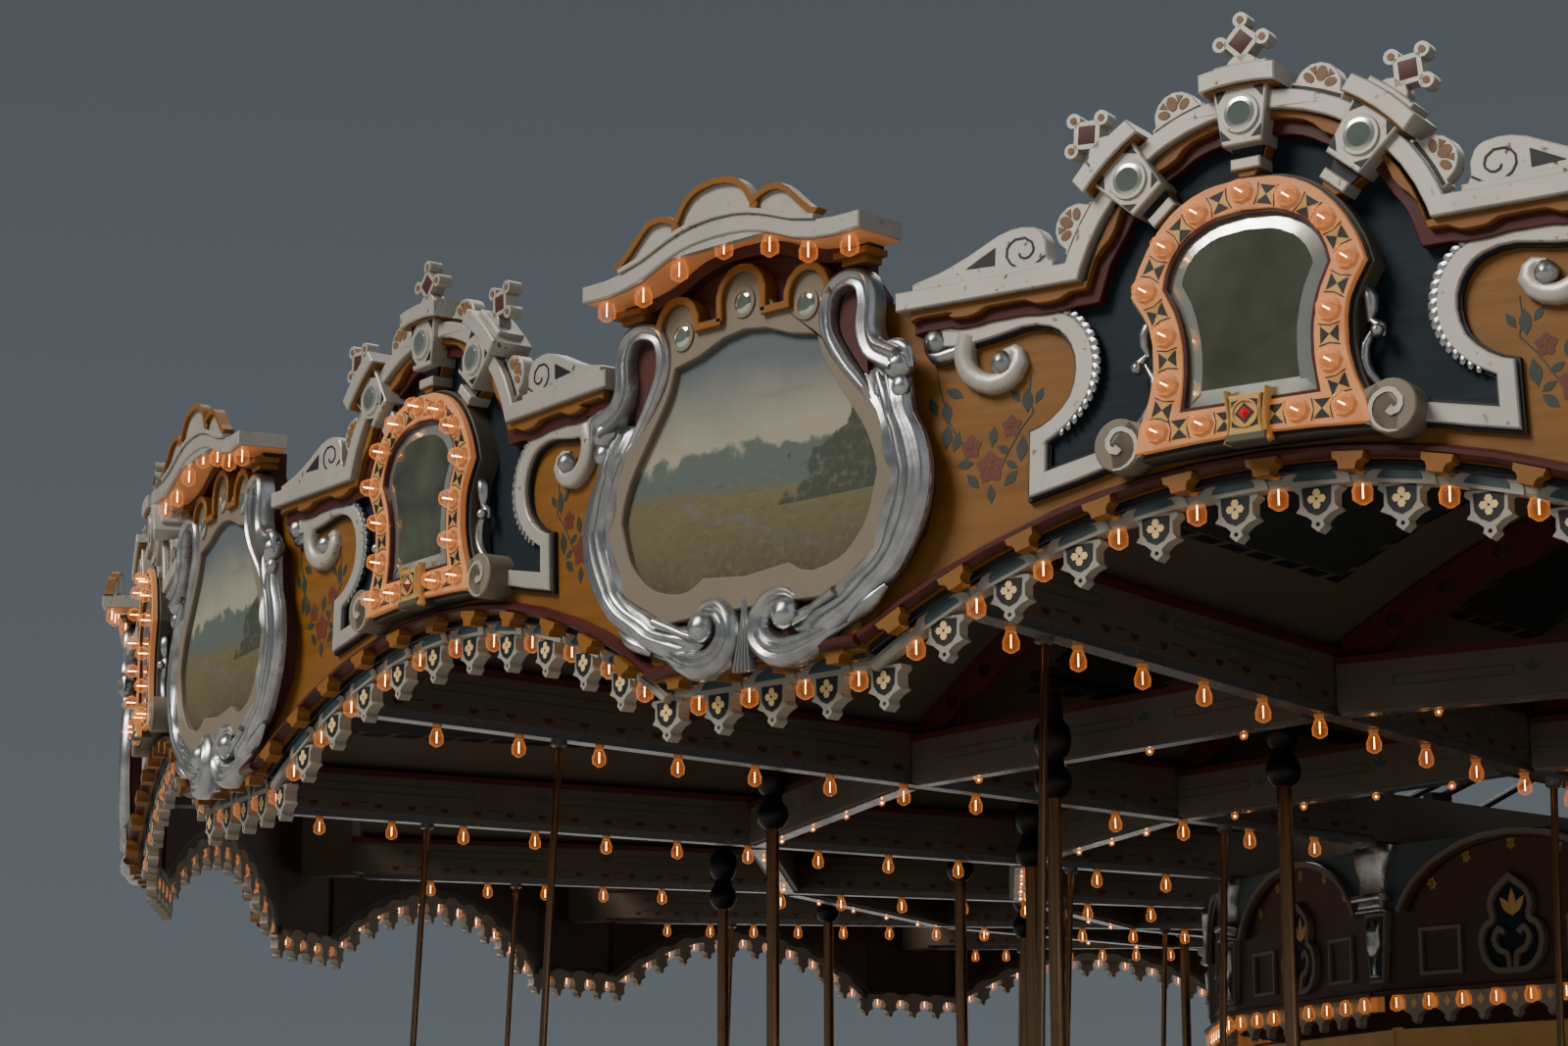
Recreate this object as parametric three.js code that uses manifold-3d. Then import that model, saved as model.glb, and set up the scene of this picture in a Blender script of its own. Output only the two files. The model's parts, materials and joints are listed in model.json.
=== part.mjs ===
// A three-row fairground carousel of eighteen sections, from the ground sills up.
// Millimetres, +Z up. The origin is the middle of the base, on the ground.
// Angle 0 (+X) is the middle of a shield panel. Each section is 20 degrees.

import * as THREE from 'three';
import { mergeVertices } from 'three/addons/utils/BufferGeometryUtils.js';
import Module from 'manifold-3d';

const wasm = await Module();
wasm.setup();

// Driving dimensions
const SECTIONS = 18;
const STEP = 2 * Math.PI / SECTIONS;
const HALF_STEP = STEP / 2;
const SEAT = 0.3;

// Rounding boards: flat bays between narrow shield panels
const BAY_FACE = 7130;
const SHIELD_FACE = 7184;
const BOARD_THICK = 50;
const SHIELD_PANEL_HALF = 318;
const BAY_HALF = SHIELD_FACE * Math.sin(HALF_STEP) - SHIELD_PANEL_HALF * Math.cos(HALF_STEP);
const ARCH_RADIUS = 1780;
const ARCH_APEX = 3146;
const ARCH_PARTS = 5;
const HUMP_PARTS = 4;
const CORNICE_LOW = 3545;
const CORNICE_TOP = 3592;
const CORNICE_END = 800;
const PEDIMENT_CENTRE = 3450;
const PEDIMENT_RADIUS = 406;
const CORNICE_OUT = 85;
const POST_TOP = 3640;
const KEY_TILT = 42;
const SHIELD_OUT = 50;
const CROWN_HIGH = 42;
const CROWN_OUT = 100;

// Lamp strip and pendants, set back under the boards
const VALANCE_THICK = 30;
const VALANCE_DROP = 96;
const VALANCE_LAP = 25;

// Sweeps rise outwards from the hub
const SWEEP_SLOPE = 0.0592;
const SWEEP_REF_R = 6551;
const SWEEP_REF_Z = 3077;
const SWEEP_HIGH = 170;
const SWEEP_WIDE = 100;
const SWEEP_IN = 500;
const SWEEP_OUT = 6885;
const BEAM_WIDE = 90;
const BEAM_HIGH = 150;
const BEAM_APOTHEMS = [4935, 4000];
const HUB_RADIUS = 620;
const HUB_BORE = 175;

// Crank shafts over the cross beams
const SHAFT_LIFT = 168;
const SHAFT_RADIUS = 19;
const SHAFT_ASIDE = 75;
const SHAFT_IN = 1150;
const SHAFT_OUT = 5260;
const PINION_RADIUS = 55;
const PINION_LONG = 60;

// Vaulted ceiling between the sweeps
const CEILING_IN = 3230;
const CEILING_OUT = 6850;
const CEILING_RISE = 345;
const CEILING_THICK = 24;
const VAULT_PARTS = 4;

// Centre
const MAST_RADIUS = 150;
const MAST_SIDES = 12;
const MAST_TOP = 4420;
const SILL_HIGH = 150;
const SILL_WIDE = 160;
const SILLS = 6;
const DRUM_FACE = 3190;
const DRUM_THICK = 40;
const DRUM_TOP = 2300;
const GEAR_RADIUS = 1220;
const GEAR_LOW = 2990;
const GEAR_TOP = 3022;
const HEAD_RADIUS = 270;
const TIE_RADIUS = 17;
const TIE_FOOT = 3040;
const TIE_LIFT = 13.95;

// Platform
const DECK_TOP = 420;
const DECK_THICK = 60;
const DECK_IN = 3300;
const DECK_OUT = 6700;
const SKIRT_LOW = 130;
const SKIRT_THICK = 40;
const ROD_RADIUS = 12;
const OUTER_ROD = 6175;
const INNER_ROD = 3885;
const ROD_LEAN = 0.045;
const ROD_GAP = 1.05;

// Inner cornice under the sweeps
const INNER_FACE = 3250;
const INNER_THICK = 40;
const INNER_LOW = 2400;
const CORNICE_SETBACK = 12;

// Jumping horses
const ROWS = [5130, 4230];
const ROW_SCALE = [1, 0.86];
const OUTER_SCALE = 1.12;
const HOOF_DROP = 748;
const HORSE_WIDE = 250;
const LEG_ASIDE = 80;
const POLE_RADIUS = 22;
const POLE_HOLE = 22.6;
const POLE_LOW = 205;
const HANGER_LOW = 2900;
const HANGER_HALF = 36;
const HANGER_HEAD = 40;
const REST_LIFT = 50;
const JUMP_HEIGHT = 850;
const CHARIOT_SECTIONS = [1, 10];
const CHARIOT_ROW = 4680;
const CHARIOT_HALF = 370;
const JOIN_ANGLE = 5.2 * Math.PI / 180;
const SWEEP_JOIN = 3 * Math.PI / 180;
const PER_NODE = 3;

const paint = (color, roughness = 0.6, metalness = 0) =>
  new THREE.MeshStandardMaterial({ color, roughness, metalness });
const OCHRE = paint(0xb07a32);
const TAUPE = paint(0x8f7f6a);
const TEAL = paint(0x23303a);
const MAROON = paint(0x5a1f1c);
const TIMBER = paint(0x7a5c3c);
const CREAM = paint(0xcdbb93);
const IRON = paint(0x1c1c1e, 0.55, 0.7);
const WHITE_HORSE = paint(0xd8d2c4, 0.4);
const BAY_HORSE = paint(0x6b3f22, 0.4);

const carousel = new THREE.Group();

// Solids
function solid(geometry) {
  const bare = geometry.index ? geometry.toNonIndexed() : geometry.clone();
  bare.deleteAttribute('normal');
  bare.deleteAttribute('uv');
  const merged = mergeVertices(bare, 1e-3);
  return new wasm.Manifold(new wasm.Mesh({
    numProp: 3,
    vertProperties: Float32Array.from(merged.attributes.position.array),
    triVerts: Uint32Array.from(merged.index.array),
  }));
}

function join(parts) {
  let all = parts[0];
  for (const part of parts.slice(1)) {
    all = all.add(part);
  }
  return all;
}

function addNode(name, body, material) {
  const mesh = body.getMesh();
  const geometry = new THREE.BufferGeometry();
  geometry.setAttribute('position', new THREE.BufferAttribute(mesh.vertProperties, 3));
  geometry.setIndex(new THREE.BufferAttribute(mesh.triVerts, 1));
  geometry.computeVertexNormals();
  const node = new THREE.Mesh(geometry, material);
  node.name = name;
  carousel.add(node);
}

function outlineShape(points) {
  return new THREE.Shape(points.map(([x, y]) => new THREE.Vector2(x, y)));
}

// A panel piece in its own frame: x along, y up, z outwards from the given depth
function plate(points, depth, thick) {
  const slab = new THREE.ExtrudeGeometry(outlineShape(points), { depth: thick, bevelEnabled: false });
  return solid(slab.translate(0, 0, depth));
}

// Sets a panel, made in its own frame, on a face at one angle
function onFace(body, angle, apothem) {
  const out = new THREE.Vector3(Math.cos(angle), Math.sin(angle), 0);
  const along = new THREE.Vector3(-Math.sin(angle), Math.cos(angle), 0);
  const place = new THREE.Matrix4().makeBasis(along, new THREE.Vector3(0, 0, 1), out);
  place.setPosition(out.multiplyScalar(apothem));
  return body.transform(place.elements);
}

// Turns a piece, made with x outwards and z up, to its angle and radius
function onRadius(body, angle, radius = 0) {
  const place = new THREE.Matrix4().makeRotationZ(angle);
  place.multiply(new THREE.Matrix4().makeTranslation(radius, 0, 0));
  return body.transform(place.elements);
}

function box(x0, x1, y0, y1, z0, z1) {
  const block = new THREE.BoxGeometry(x1 - x0, y1 - y0, z1 - z0);
  return solid(block.translate((x0 + x1) / 2, (y0 + y1) / 2, (z0 + z1) / 2));
}

// An outline in x and z, made as wide as given along y
function slabXZ(points, wide, middle = 0) {
  const slab = new THREE.ExtrudeGeometry(outlineShape(points), { depth: wide, bevelEnabled: false });
  return solid(slab.rotateX(Math.PI / 2).translate(0, wide / 2 + middle, 0));
}

function bar(from, to, radius, sides, endRadius = radius) {
  const start = new THREE.Vector3(...from);
  const way = new THREE.Vector3(...to).sub(start);
  const rod = new THREE.CylinderGeometry(endRadius, radius, way.length(), sides);
  rod.translate(0, way.length() / 2, 0);
  const turn = new THREE.Quaternion().setFromUnitVectors(new THREE.Vector3(0, 1, 0), way.normalize());
  return solid(rod.applyQuaternion(turn).translate(start.x, start.y, start.z));
}

function sector(from, to, z0, z1) {
  const reach = 9000;
  const far = 2 * reach;
  const middle = (from + to) / 2;
  const wedge = new THREE.ExtrudeGeometry(outlineShape([
    [0, 0],
    [reach * Math.cos(from), reach * Math.sin(from)],
    [far * Math.cos(middle), far * Math.sin(middle)],
    [reach * Math.cos(to), reach * Math.sin(to)],
  ]), { depth: z1 - z0, bevelEnabled: false });
  return solid(wedge.translate(0, 0, z0));
}

// A flat ring with straight sides: inner and outer are its apothems, turn sets one side's angle
function ring(sides, inner, outer, z0, z1, turn = HALF_STEP) {
  const corner = Math.PI / sides;
  const loop = (apothem) => {
    const points = [];
    for (let i = 0; i < sides; i += 1) {
      const angle = turn + (2 * i + 1) * corner;
      const reach = apothem / Math.cos(corner);
      points.push(new THREE.Vector2(reach * Math.cos(angle), reach * Math.sin(angle)));
    }
    return points;
  };
  const shape = new THREE.Shape(loop(outer));
  if (inner > 0) {
    shape.holes.push(new THREE.Path(loop(inner)));
  }
  const slab = new THREE.ExtrudeGeometry(shape, { depth: z1 - z0, bevelEnabled: false });
  return solid(slab.translate(0, 0, z0));
}

function arcPoints(centreY, radius, from, to, parts) {
  const points = [];
  for (let i = 0; i <= parts; i += 1) {
    const angle = from + (to - from) * i / parts;
    points.push([radius * Math.sin(angle), centreY + radius * Math.cos(angle)]);
  }
  return points;
}

const mirrored = (points) => points.map(([x, y]) => [-x, y]).reverse();
const sweepLow = (radius) => SWEEP_REF_Z + SWEEP_SLOPE * (radius - SWEEP_REF_R);
const sweepTop = (radius) => sweepLow(radius) + SWEEP_HIGH;
const shaftHeight = (radius) => sweepLow(radius) + SHAFT_LIFT;

// Ground frame: radial sills and a ring below the drum
function groundFrame() {
  const parts = [ring(SECTIONS, DRUM_FACE - 160, DRUM_FACE, 0, SILL_HIGH)];
  parts.push(ring(SILLS, 0, 600, 0, SILL_HIGH, 0));
  for (let i = 0; i < SILLS; i += 1) {
    const sill = box(560, DRUM_FACE - 80, -SILL_WIDE / 2, SILL_WIDE / 2, 0, SILL_HIGH);
    parts.push(onRadius(sill, i * 2 * Math.PI / SILLS + HALF_STEP));
  }
  addNode('ground_frame', join(parts), TIMBER);
}

// Mast with raking braces down to the sills
function centreMast() {
  const foot = SILL_HIGH + SEAT;
  const parts = [ring(MAST_SIDES, 0, MAST_RADIUS, foot, MAST_TOP)];
  for (let i = 0; i < SILLS; i += 1) {
    const outline = [[100, 1900], [1900, foot], [2100, foot], [100, 2100]];
    parts.push(onRadius(slabXZ(outline, 110), i * 2 * Math.PI / SILLS + HALF_STEP));
  }
  addNode('centre_mast', join(parts), CREAM);
}

// Splits a ring into thirds that meet with a hair's gap
function thirds(name, body, face, material) {
  const gap = 0.5 * SEAT / face;
  const third = 2 * Math.PI / 3;
  for (let i = 0; i < 3; i += 1) {
    addNode(`${name}_${i + 1}`, body.intersect(sector(i * third + gap, (i + 1) * third - gap, 0, MAST_TOP)), material);
  }
}

function drum() {
  addNode('drum', ring(SECTIONS, DRUM_FACE - DRUM_THICK, DRUM_FACE, SILL_HIGH + SEAT, DRUM_TOP), TEAL);
}

// Fixed ring gear that turns the crank pinions
function ringGear() {
  const parts = [ring(SECTIONS, GEAR_RADIUS - 110, GEAR_RADIUS, GEAR_LOW, GEAR_TOP)];
  parts.push(ring(MAST_SIDES, MAST_RADIUS + SEAT, MAST_RADIUS + 60, GEAR_LOW, GEAR_TOP));
  for (let i = 0; i < 3; i += 1) {
    const spoke = box(MAST_RADIUS + 40, GEAR_RADIUS - 60, -35, 35, GEAR_LOW, GEAR_TOP);
    parts.push(onRadius(spoke, i * 2 * Math.PI / 3));
  }
  addNode('ring_gear', join(parts), IRON);
}

// Hub, eighteen sweeps, cross beams and the crank shafts that lie on them
function sweepFrame() {
  const parts = [ring(SECTIONS, HUB_BORE, HUB_RADIUS, sweepLow(SWEEP_IN) - 30, sweepTop(SWEEP_IN) - 30)];
  for (const apothem of BEAM_APOTHEMS) {
    const low = sweepLow(apothem);
    parts.push(ring(SECTIONS, apothem - BEAM_WIDE / 2, apothem + BEAM_WIDE / 2, low, low + BEAM_HIGH));
  }
  const postOut = SHIELD_FACE - BOARD_THICK - SEAT;
  const sweep = slabXZ([
    [SWEEP_IN, sweepLow(SWEEP_IN)], [postOut, sweepLow(postOut)], [postOut, POST_TOP],
    [SWEEP_OUT, POST_TOP], [SWEEP_OUT, sweepTop(SWEEP_OUT)], [SWEEP_IN, sweepTop(SWEEP_IN)],
  ], SWEEP_WIDE);
  const shaft = crankShaft();
  for (let i = 0; i < SECTIONS; i += 1) {
    parts.push(onRadius(sweep, i * STEP));
    parts.push(onRadius(shaft, i * STEP + HALF_STEP));
  }
  const whole = join(parts);
  const gap = 0.5 * SEAT / HUB_RADIUS;
  for (let k = 0; k < SECTIONS / PER_NODE; k += 1) {
    const start = k * PER_NODE * STEP - SWEEP_JOIN;
    const wedge = sector(start + gap, start + PER_NODE * STEP - gap, 0, MAST_TOP);
    addNode(`sweep_frame_${k + 1}`, whole.intersect(wedge), TAUPE);
  }
}

function crankShaft() {
  const end = (radius) => [radius, SHAFT_ASIDE, shaftHeight(radius)];
  const parts = [bar(end(SHAFT_IN), end(SHAFT_OUT), SHAFT_RADIUS, 4)];
  parts.push(bar(end(SHAFT_IN - 2), end(SHAFT_IN + PINION_LONG), PINION_RADIUS, 6));
  return join(parts);
}

// Mast head that hangs the sweeps on tie rods
function mastHead() {
  const seat = MAST_TOP + SEAT;
  const parts = [ring(SECTIONS, HUB_BORE, HEAD_RADIUS, MAST_TOP - 150, seat, 0)];
  parts.push(ring(SECTIONS, 0, HEAD_RADIUS, seat, seat + 70, 0));
  const foot = [TIE_FOOT, 0, sweepTop(TIE_FOOT) + TIE_LIFT];
  const tie = bar(foot, [HEAD_RADIUS - 40, 0, MAST_TOP - 70], TIE_RADIUS, 4);
  for (let i = 0; i < SECTIONS; i += 1) {
    parts.push(onRadius(tie, i * STEP));
  }
  addNode('mast_head', join(parts), IRON);
}

// Ceiling, a vaulted sheet that springs from sweep to sweep
function ceiling() {
  const around = SECTIONS * VAULT_PARTS;
  const rings = [
    [CEILING_IN, 0], [CEILING_OUT, 0], [CEILING_OUT, CEILING_THICK], [CEILING_IN, CEILING_THICK],
  ];
  const positions = [];
  const index = [];
  for (let i = 0; i < around; i += 1) {
    const angle = i * 2 * Math.PI / around;
    const rise = CEILING_RISE * Math.abs(Math.sin(angle * SECTIONS / 2));
    for (const [radius, thick] of rings) {
      const reach = radius * Math.cos(HALF_STEP) / Math.cos((angle % STEP) - HALF_STEP);
      const height = sweepTop(radius) + SEAT + rise + thick;
      positions.push(reach * Math.cos(angle), reach * Math.sin(angle), height);
    }
    const next = (i + 1) % around;
    for (let k = 0; k < rings.length; k += 1) {
      const l = (k + 1) % rings.length;
      const quad = [4 * i + k, 4 * next + k, 4 * next + l, 4 * i + l];
      index.push(quad[0], quad[1], quad[2], quad[0], quad[2], quad[3]);
    }
  }
  const geometry = new THREE.BufferGeometry();
  geometry.setAttribute('position', new THREE.Float32BufferAttribute(positions, 3));
  geometry.setIndex(index);
  thirds('ceiling', solid(geometry), CEILING_IN, TAUPE);
}

// One bay of board: arched below, with a cornice and an arched pediment above
function bayBoard() {
  const archCentre = ARCH_APEX - ARCH_RADIUS;
  const spring = Math.asin(BAY_HALF / ARCH_RADIUS);
  const open = Math.acos((CORNICE_TOP - PEDIMENT_CENTRE) / PEDIMENT_RADIUS);
  const bottom = arcPoints(archCentre, ARCH_RADIUS, -spring, spring, ARCH_PARTS);
  const hump = arcPoints(PEDIMENT_CENTRE, PEDIMENT_RADIUS, open, -open, HUMP_PARTS);
  const outline = [...bottom, [BAY_HALF, CORNICE_TOP], ...hump, [-BAY_HALF, CORNICE_TOP]];
  const parts = [plate(outline, -BOARD_THICK, BOARD_THICK)];
  parts.push(cornice(open), valance(archCentre, spring), mirrorFrame());
  for (const tilt of [-KEY_TILT, 0, KEY_TILT]) {
    parts.push(keystone(tilt * Math.PI / 180));
  }
  return join(parts);
}

function cornice(open) {
  const drop = CORNICE_TOP - CORNICE_LOW;
  const outer = arcPoints(PEDIMENT_CENTRE, PEDIMENT_RADIUS, open, -open, HUMP_PARTS);
  const closed = Math.acos((CORNICE_LOW - PEDIMENT_CENTRE) / (PEDIMENT_RADIUS - drop));
  const inner = arcPoints(PEDIMENT_CENTRE, PEDIMENT_RADIUS - drop, -closed, closed, HUMP_PARTS);
  const outline = [
    [CORNICE_END, CORNICE_LOW], [CORNICE_END, CORNICE_TOP], ...outer,
    [-CORNICE_END, CORNICE_TOP], [-CORNICE_END, CORNICE_LOW], ...inner,
  ];
  return plate(outline, 0, CORNICE_OUT);
}

function valance(archCentre, spring) {
  const low = arcPoints(archCentre - VALANCE_DROP, ARCH_RADIUS, -spring, spring, ARCH_PARTS);
  const high = arcPoints(archCentre + VALANCE_LAP, ARCH_RADIUS, spring, -spring, ARCH_PARTS);
  return plate([...low, ...high], -BOARD_THICK - VALANCE_THICK, VALANCE_THICK);
}

function mirrorFrame() {
  const half = [[270, 3160], [205, 3350], [255, 3490], [150, 3650]];
  return plate([...half, ...mirrored(half)], 0, 80);
}

function keystone(tilt) {
  const turned = (points) => points.map(([x, y]) => [
    x * Math.cos(tilt) + y * Math.sin(tilt),
    PEDIMENT_CENTRE - x * Math.sin(tilt) + y * Math.cos(tilt),
  ]);
  return plate(turned([[32, 245], [84, 450], [0, 580], [-84, 450], [-32, 245]]), 0, 120);
}

// One shield panel with its carved shield, crown and crest
function shieldPanel() {
  const low = ARCH_APEX - ARCH_RADIUS + ARCH_RADIUS * Math.cos(Math.asin(BAY_HALF / ARCH_RADIUS));
  const half = SHIELD_PANEL_HALF;
  const drop = low - VALANCE_DROP;
  const lap = low + VALANCE_LAP;
  const strip = [[-half, drop], [half, drop], [half, lap], [-half, lap]];
  const side = [[half, low], [430, 2995], [520, 3200], [420, 3460], [400, 3640], [260, 3770]];
  const ogee = [[-425, 3738], [-240, 3745], [0, 3805], [240, 3745], [425, 3738]];
  const crown = [...ogee, ...ogee.map(([x, y]) => [x, y + CROWN_HIGH]).reverse()];
  const crest = [[330, 3775], [240, 3890], [70, 3955]];
  return join([
    plate(strip, -BOARD_THICK - VALANCE_THICK, VALANCE_THICK),
    plate([...side, ...mirrored(side)], -BOARD_THICK, BOARD_THICK + SHIELD_OUT),
    plate(crown, 0, CROWN_OUT),
    plate([...crest, ...mirrored(crest)], 20, 40),
  ]);
}

function roundingBoards() {
  const bay = bayBoard();
  const shield = shieldPanel();
  const gap = 0.5 * SEAT / BAY_FACE;
  for (let k = 0; k < SECTIONS / PER_NODE; k += 1) {
    const start = k * PER_NODE * STEP;
    const boards = [];
    for (let i = -1; i < PER_NODE; i += 1) {
      boards.push(onFace(bay, start + i * STEP + HALF_STEP, BAY_FACE));
    }
    const wedge = sector(start - JOIN_ANGLE + gap, start + PER_NODE * STEP - JOIN_ANGLE - gap, 2500, MAST_TOP);
    const parts = [join(boards).intersect(wedge)];
    for (let i = 0; i < PER_NODE; i += 1) {
      parts.push(onFace(shield, start + i * STEP, SHIELD_FACE));
    }
    addNode(`rounding_boards_${k + 1}`, join(parts), OCHRE);
  }
}

function innerCornice() {
  const corner = INNER_FACE / Math.cos(HALF_STEP);
  const top = sweepLow(corner - INNER_THICK - CORNICE_SETBACK) - SEAT;
  const boards = ring(SECTIONS, INNER_FACE - INNER_THICK, INNER_FACE, INNER_LOW, top);
  thirds('inner_cornice', boards, INNER_FACE, MAROON);
}

// A horse in simple facets: x forwards, z up, with its girth at the origin
function horse(legs) {
  const trunk = [
    [-470, -40], [-300, -150], [280, -150], [440, 20], [600, 270], [760, 220], [800, 290], [580, 500],
    [250, 170], [-380, 170],
  ];
  const parts = [slabXZ(trunk, HORSE_WIDE)];
  for (const [hip, hoof, side] of legs) {
    const outline = [
      [hip[0] - 70, hip[1]], [hoof[0] - 40, hoof[1]], [hoof[0] + 40, hoof[1]], [hip[0] + 70, hip[1]],
    ];
    parts.push(slabXZ(outline, 70, side * LEG_ASIDE));
  }
  return join(parts);
}

const STANDING_LEGS = [
  [[300, -20], [300, -HOOF_DROP - 4], 1], [[300, -20], [500, -560], -1],
  [[-360, 20], [-430, -HOOF_DROP - 4], 1], [[-360, 20], [-330, -HOOF_DROP - 4], -1],
];
const JUMPING_LEGS = [
  [[300, -20], [600, -400], 1], [[300, -20], [520, -520], -1],
  [[-360, 20], [-600, -470], 1], [[-360, 20], [-480, -560], -1],
];

// The horse looks along the turn, so its own x becomes y
function facing(body, scale, z) {
  return body.scale([scale, scale, scale]).rotate([0, 0, 90]).translate([0, 0, z]);
}

// Deck segments with their skirt, hanger rods, standing horses and pole holes
function deck() {
  const boards = ring(SECTIONS, DECK_IN, DECK_OUT, DECK_TOP - DECK_THICK, DECK_TOP);
  const skirt = ring(SECTIONS, DECK_OUT - SKIRT_THICK, DECK_OUT, SKIRT_LOW, DECK_TOP);
  const floor = boards.add(skirt);
  const lean = OUTER_ROD + ROD_LEAN * (SWEEP_REF_Z - DECK_TOP - OUTER_SCALE * HOOF_DROP);
  const stander = facing(horse(STANDING_LEGS), OUTER_SCALE, DECK_TOP + OUTER_SCALE * HOOF_DROP);
  const standerSet = stander.translate([lean, 0, 0]).add(hangerRod(OUTER_ROD));
  const innerRod = hangerRod(INNER_ROD);
  const hole = bar([0, 0, 0], [0, 0, DECK_TOP + 60], POLE_HOLE, 4);
  const gap = 0.5 * SEAT / DECK_IN;
  for (let k = 0; k < SECTIONS / PER_NODE; k += 1) {
    const start = k * PER_NODE * STEP;
    const wedge = sector(start - JOIN_ANGLE + gap, start + PER_NODE * STEP - JOIN_ANGLE - gap, 0, DECK_TOP + 60);
    let segment = floor.intersect(wedge);
    for (let i = 0; i < PER_NODE; i += 1) {
      const angle = start + i * STEP;
      segment = segment.add(onRadius(standerSet, angle)).add(onRadius(innerRod, angle));
      for (const radius of ROWS.filter(() => jumperAt(k * PER_NODE + i))) {
        segment = segment.subtract(onRadius(hole, angle + HALF_STEP, radius));
      }
    }
    addNode(`deck_${k + 1}`, segment, TIMBER);
  }
}

function hangerRod(radius) {
  const top = sweepLow(radius) - ROD_GAP;
  const foot = DECK_TOP - DECK_THICK / 2;
  return bar([radius + ROD_LEAN * (top - foot), 0, foot], [radius, 0, top], ROD_RADIUS, 4);
}

function jumperAt(section) {
  return !CHARIOT_SECTIONS.some((spot) => section === spot || section === spot - 1);
}

// A jumping horse on its brass pole, with the iron hanger at the top
function jumper(row, lift) {
  const hangerTop = shaftHeight(ROWS[row]) + lift + HANGER_HEAD;
  const body = facing(horse(JUMPING_LEGS), ROW_SCALE[row], DECK_TOP + JUMP_HEIGHT + lift);
  const pole = bar([0, 0, POLE_LOW + lift], [0, 0, HANGER_LOW + lift + 30], POLE_RADIUS, 4);
  const half = HANGER_HALF;
  return join([body, pole, box(-half, half, -half, half, HANGER_LOW + lift, hangerTop)]);
}

function jumpers() {
  for (let row = 0; row < ROWS.length; row += 1) {
    for (let section = 0; section < SECTIONS; section += 1) {
      if (jumperAt(section)) {
        const lift = (section + row) % 2 ? -REST_LIFT : REST_LIFT;
        const body = onRadius(jumper(row, lift), section * STEP + HALF_STEP, ROWS[row]);
        addNode(`jumper_${row ? 'inner' : 'middle'}_${section + 1}`, body, row ? BAY_HORSE : WHITE_HORSE);
      }
    }
  }
}

// A bench carriage in place of the two inner rows
function chariot() {
  const side = [
    [-900, 0], [820, 0], [950, 250], [900, 520], [430, 540], [-250, 480], [-600, 820], [-880, 900], [-980, 600],
  ];
  const parts = [slabXZ(side, 40, -CHARIOT_HALF), slabXZ(side, 40, CHARIOT_HALF)];
  const half = CHARIOT_HALF;
  parts.push(box(-850, 800, -half, half, 0, 60));
  parts.push(box(-840, -400, -half, half, 60, 380));
  parts.push(box(-870, -780, -half, half, 380, 760));
  parts.push(box(330, 700, -half, half, 60, 340));
  return facing(join(parts), 1, DECK_TOP + SEAT);
}

groundFrame();
centreMast();
drum();
ringGear();
sweepFrame();
mastHead();
ceiling();
roundingBoards();
innerCornice();
deck();
jumpers();
CHARIOT_SECTIONS.forEach((section, i) => {
  addNode(`chariot_${i + 1}`, onRadius(chariot(), section * STEP, CHARIOT_ROW), MAROON);
});

export default carousel;
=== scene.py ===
import json
import math

import bpy
import numpy as np
from mathutils import Matrix, Vector
from mathutils.geometry import tessellate_polygon


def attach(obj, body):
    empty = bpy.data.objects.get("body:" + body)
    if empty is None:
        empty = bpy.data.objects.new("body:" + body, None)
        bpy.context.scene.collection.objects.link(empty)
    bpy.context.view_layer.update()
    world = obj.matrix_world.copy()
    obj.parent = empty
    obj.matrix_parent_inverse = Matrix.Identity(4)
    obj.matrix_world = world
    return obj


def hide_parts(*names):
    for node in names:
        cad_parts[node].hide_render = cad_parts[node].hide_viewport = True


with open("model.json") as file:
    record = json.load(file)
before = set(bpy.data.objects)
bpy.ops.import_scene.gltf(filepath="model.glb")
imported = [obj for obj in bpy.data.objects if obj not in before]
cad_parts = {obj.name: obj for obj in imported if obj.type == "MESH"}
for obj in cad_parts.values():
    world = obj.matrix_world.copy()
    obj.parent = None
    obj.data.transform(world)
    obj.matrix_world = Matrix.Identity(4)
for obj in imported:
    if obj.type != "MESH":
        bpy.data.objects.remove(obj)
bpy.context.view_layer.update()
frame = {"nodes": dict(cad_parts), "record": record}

# Sizes in millimetres. A board's own frame is x along, z up and d out from the turning axis.
MM = 0.001
SECTIONS = 18
STEP = 2 * math.pi / SECTIONS
TAN = math.tan(STEP / 2)
FACETS = [STEP * i for i in range(SECTIONS)]
BAYS = [STEP * (i + 0.5) for i in range(SECTIONS)]
ONCE = (0.0,)

# Outer boards: BAY and FACET are the depths of their faces
BAY = 7100
FACET = 7168
BAY_HALF = 934
HUMP_Z = 3450
BOARD_R = 1780
BOARD_APEX = 3140
STRIP_R = 1714
STRIP_APEX = 3100
FACET_STRIP_Z = 2838
BAY_STRIP_D = BAY - 34
FACET_STRIP_D = FACET - 69

# Overhead frame: the sweeps rise inwards from the level SWEEP_Z at the radius SWEEP_R
SLOPE = 0.0592
SWEEP_IN = 3320
SWEEP_OUT = 6884
SWEEP_R = 6551
SWEEP_Z = 3077
BEAMS = (4935, 4000)
VAULT_RISE = 345
SHAFT_X = 75
SHAFT_LIFT = 168
OUTER_ROD_R = 6175
INNER_ROD_R = 3885
ROD_LEAN = 0.045

# Middle, platform and riders
INNER_D = 3250
POST_D = 3290
DRUM_D = 3190
DECK_TOP = 420
SKIRT_D = 6700
ROWS = (5130, 4230)
ROW_SCALE = (1.0, 0.86)
OUTER_SCALE = 1.12
GIRTH = 748
JUMP_Z = 850
JUMP_OFFSET = 50
CHARIOTS = (1, 10)
RIDERS = [i for i in range(SECTIONS) if all(i not in (spot, spot - 1) for spot in CHARIOTS)]

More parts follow.
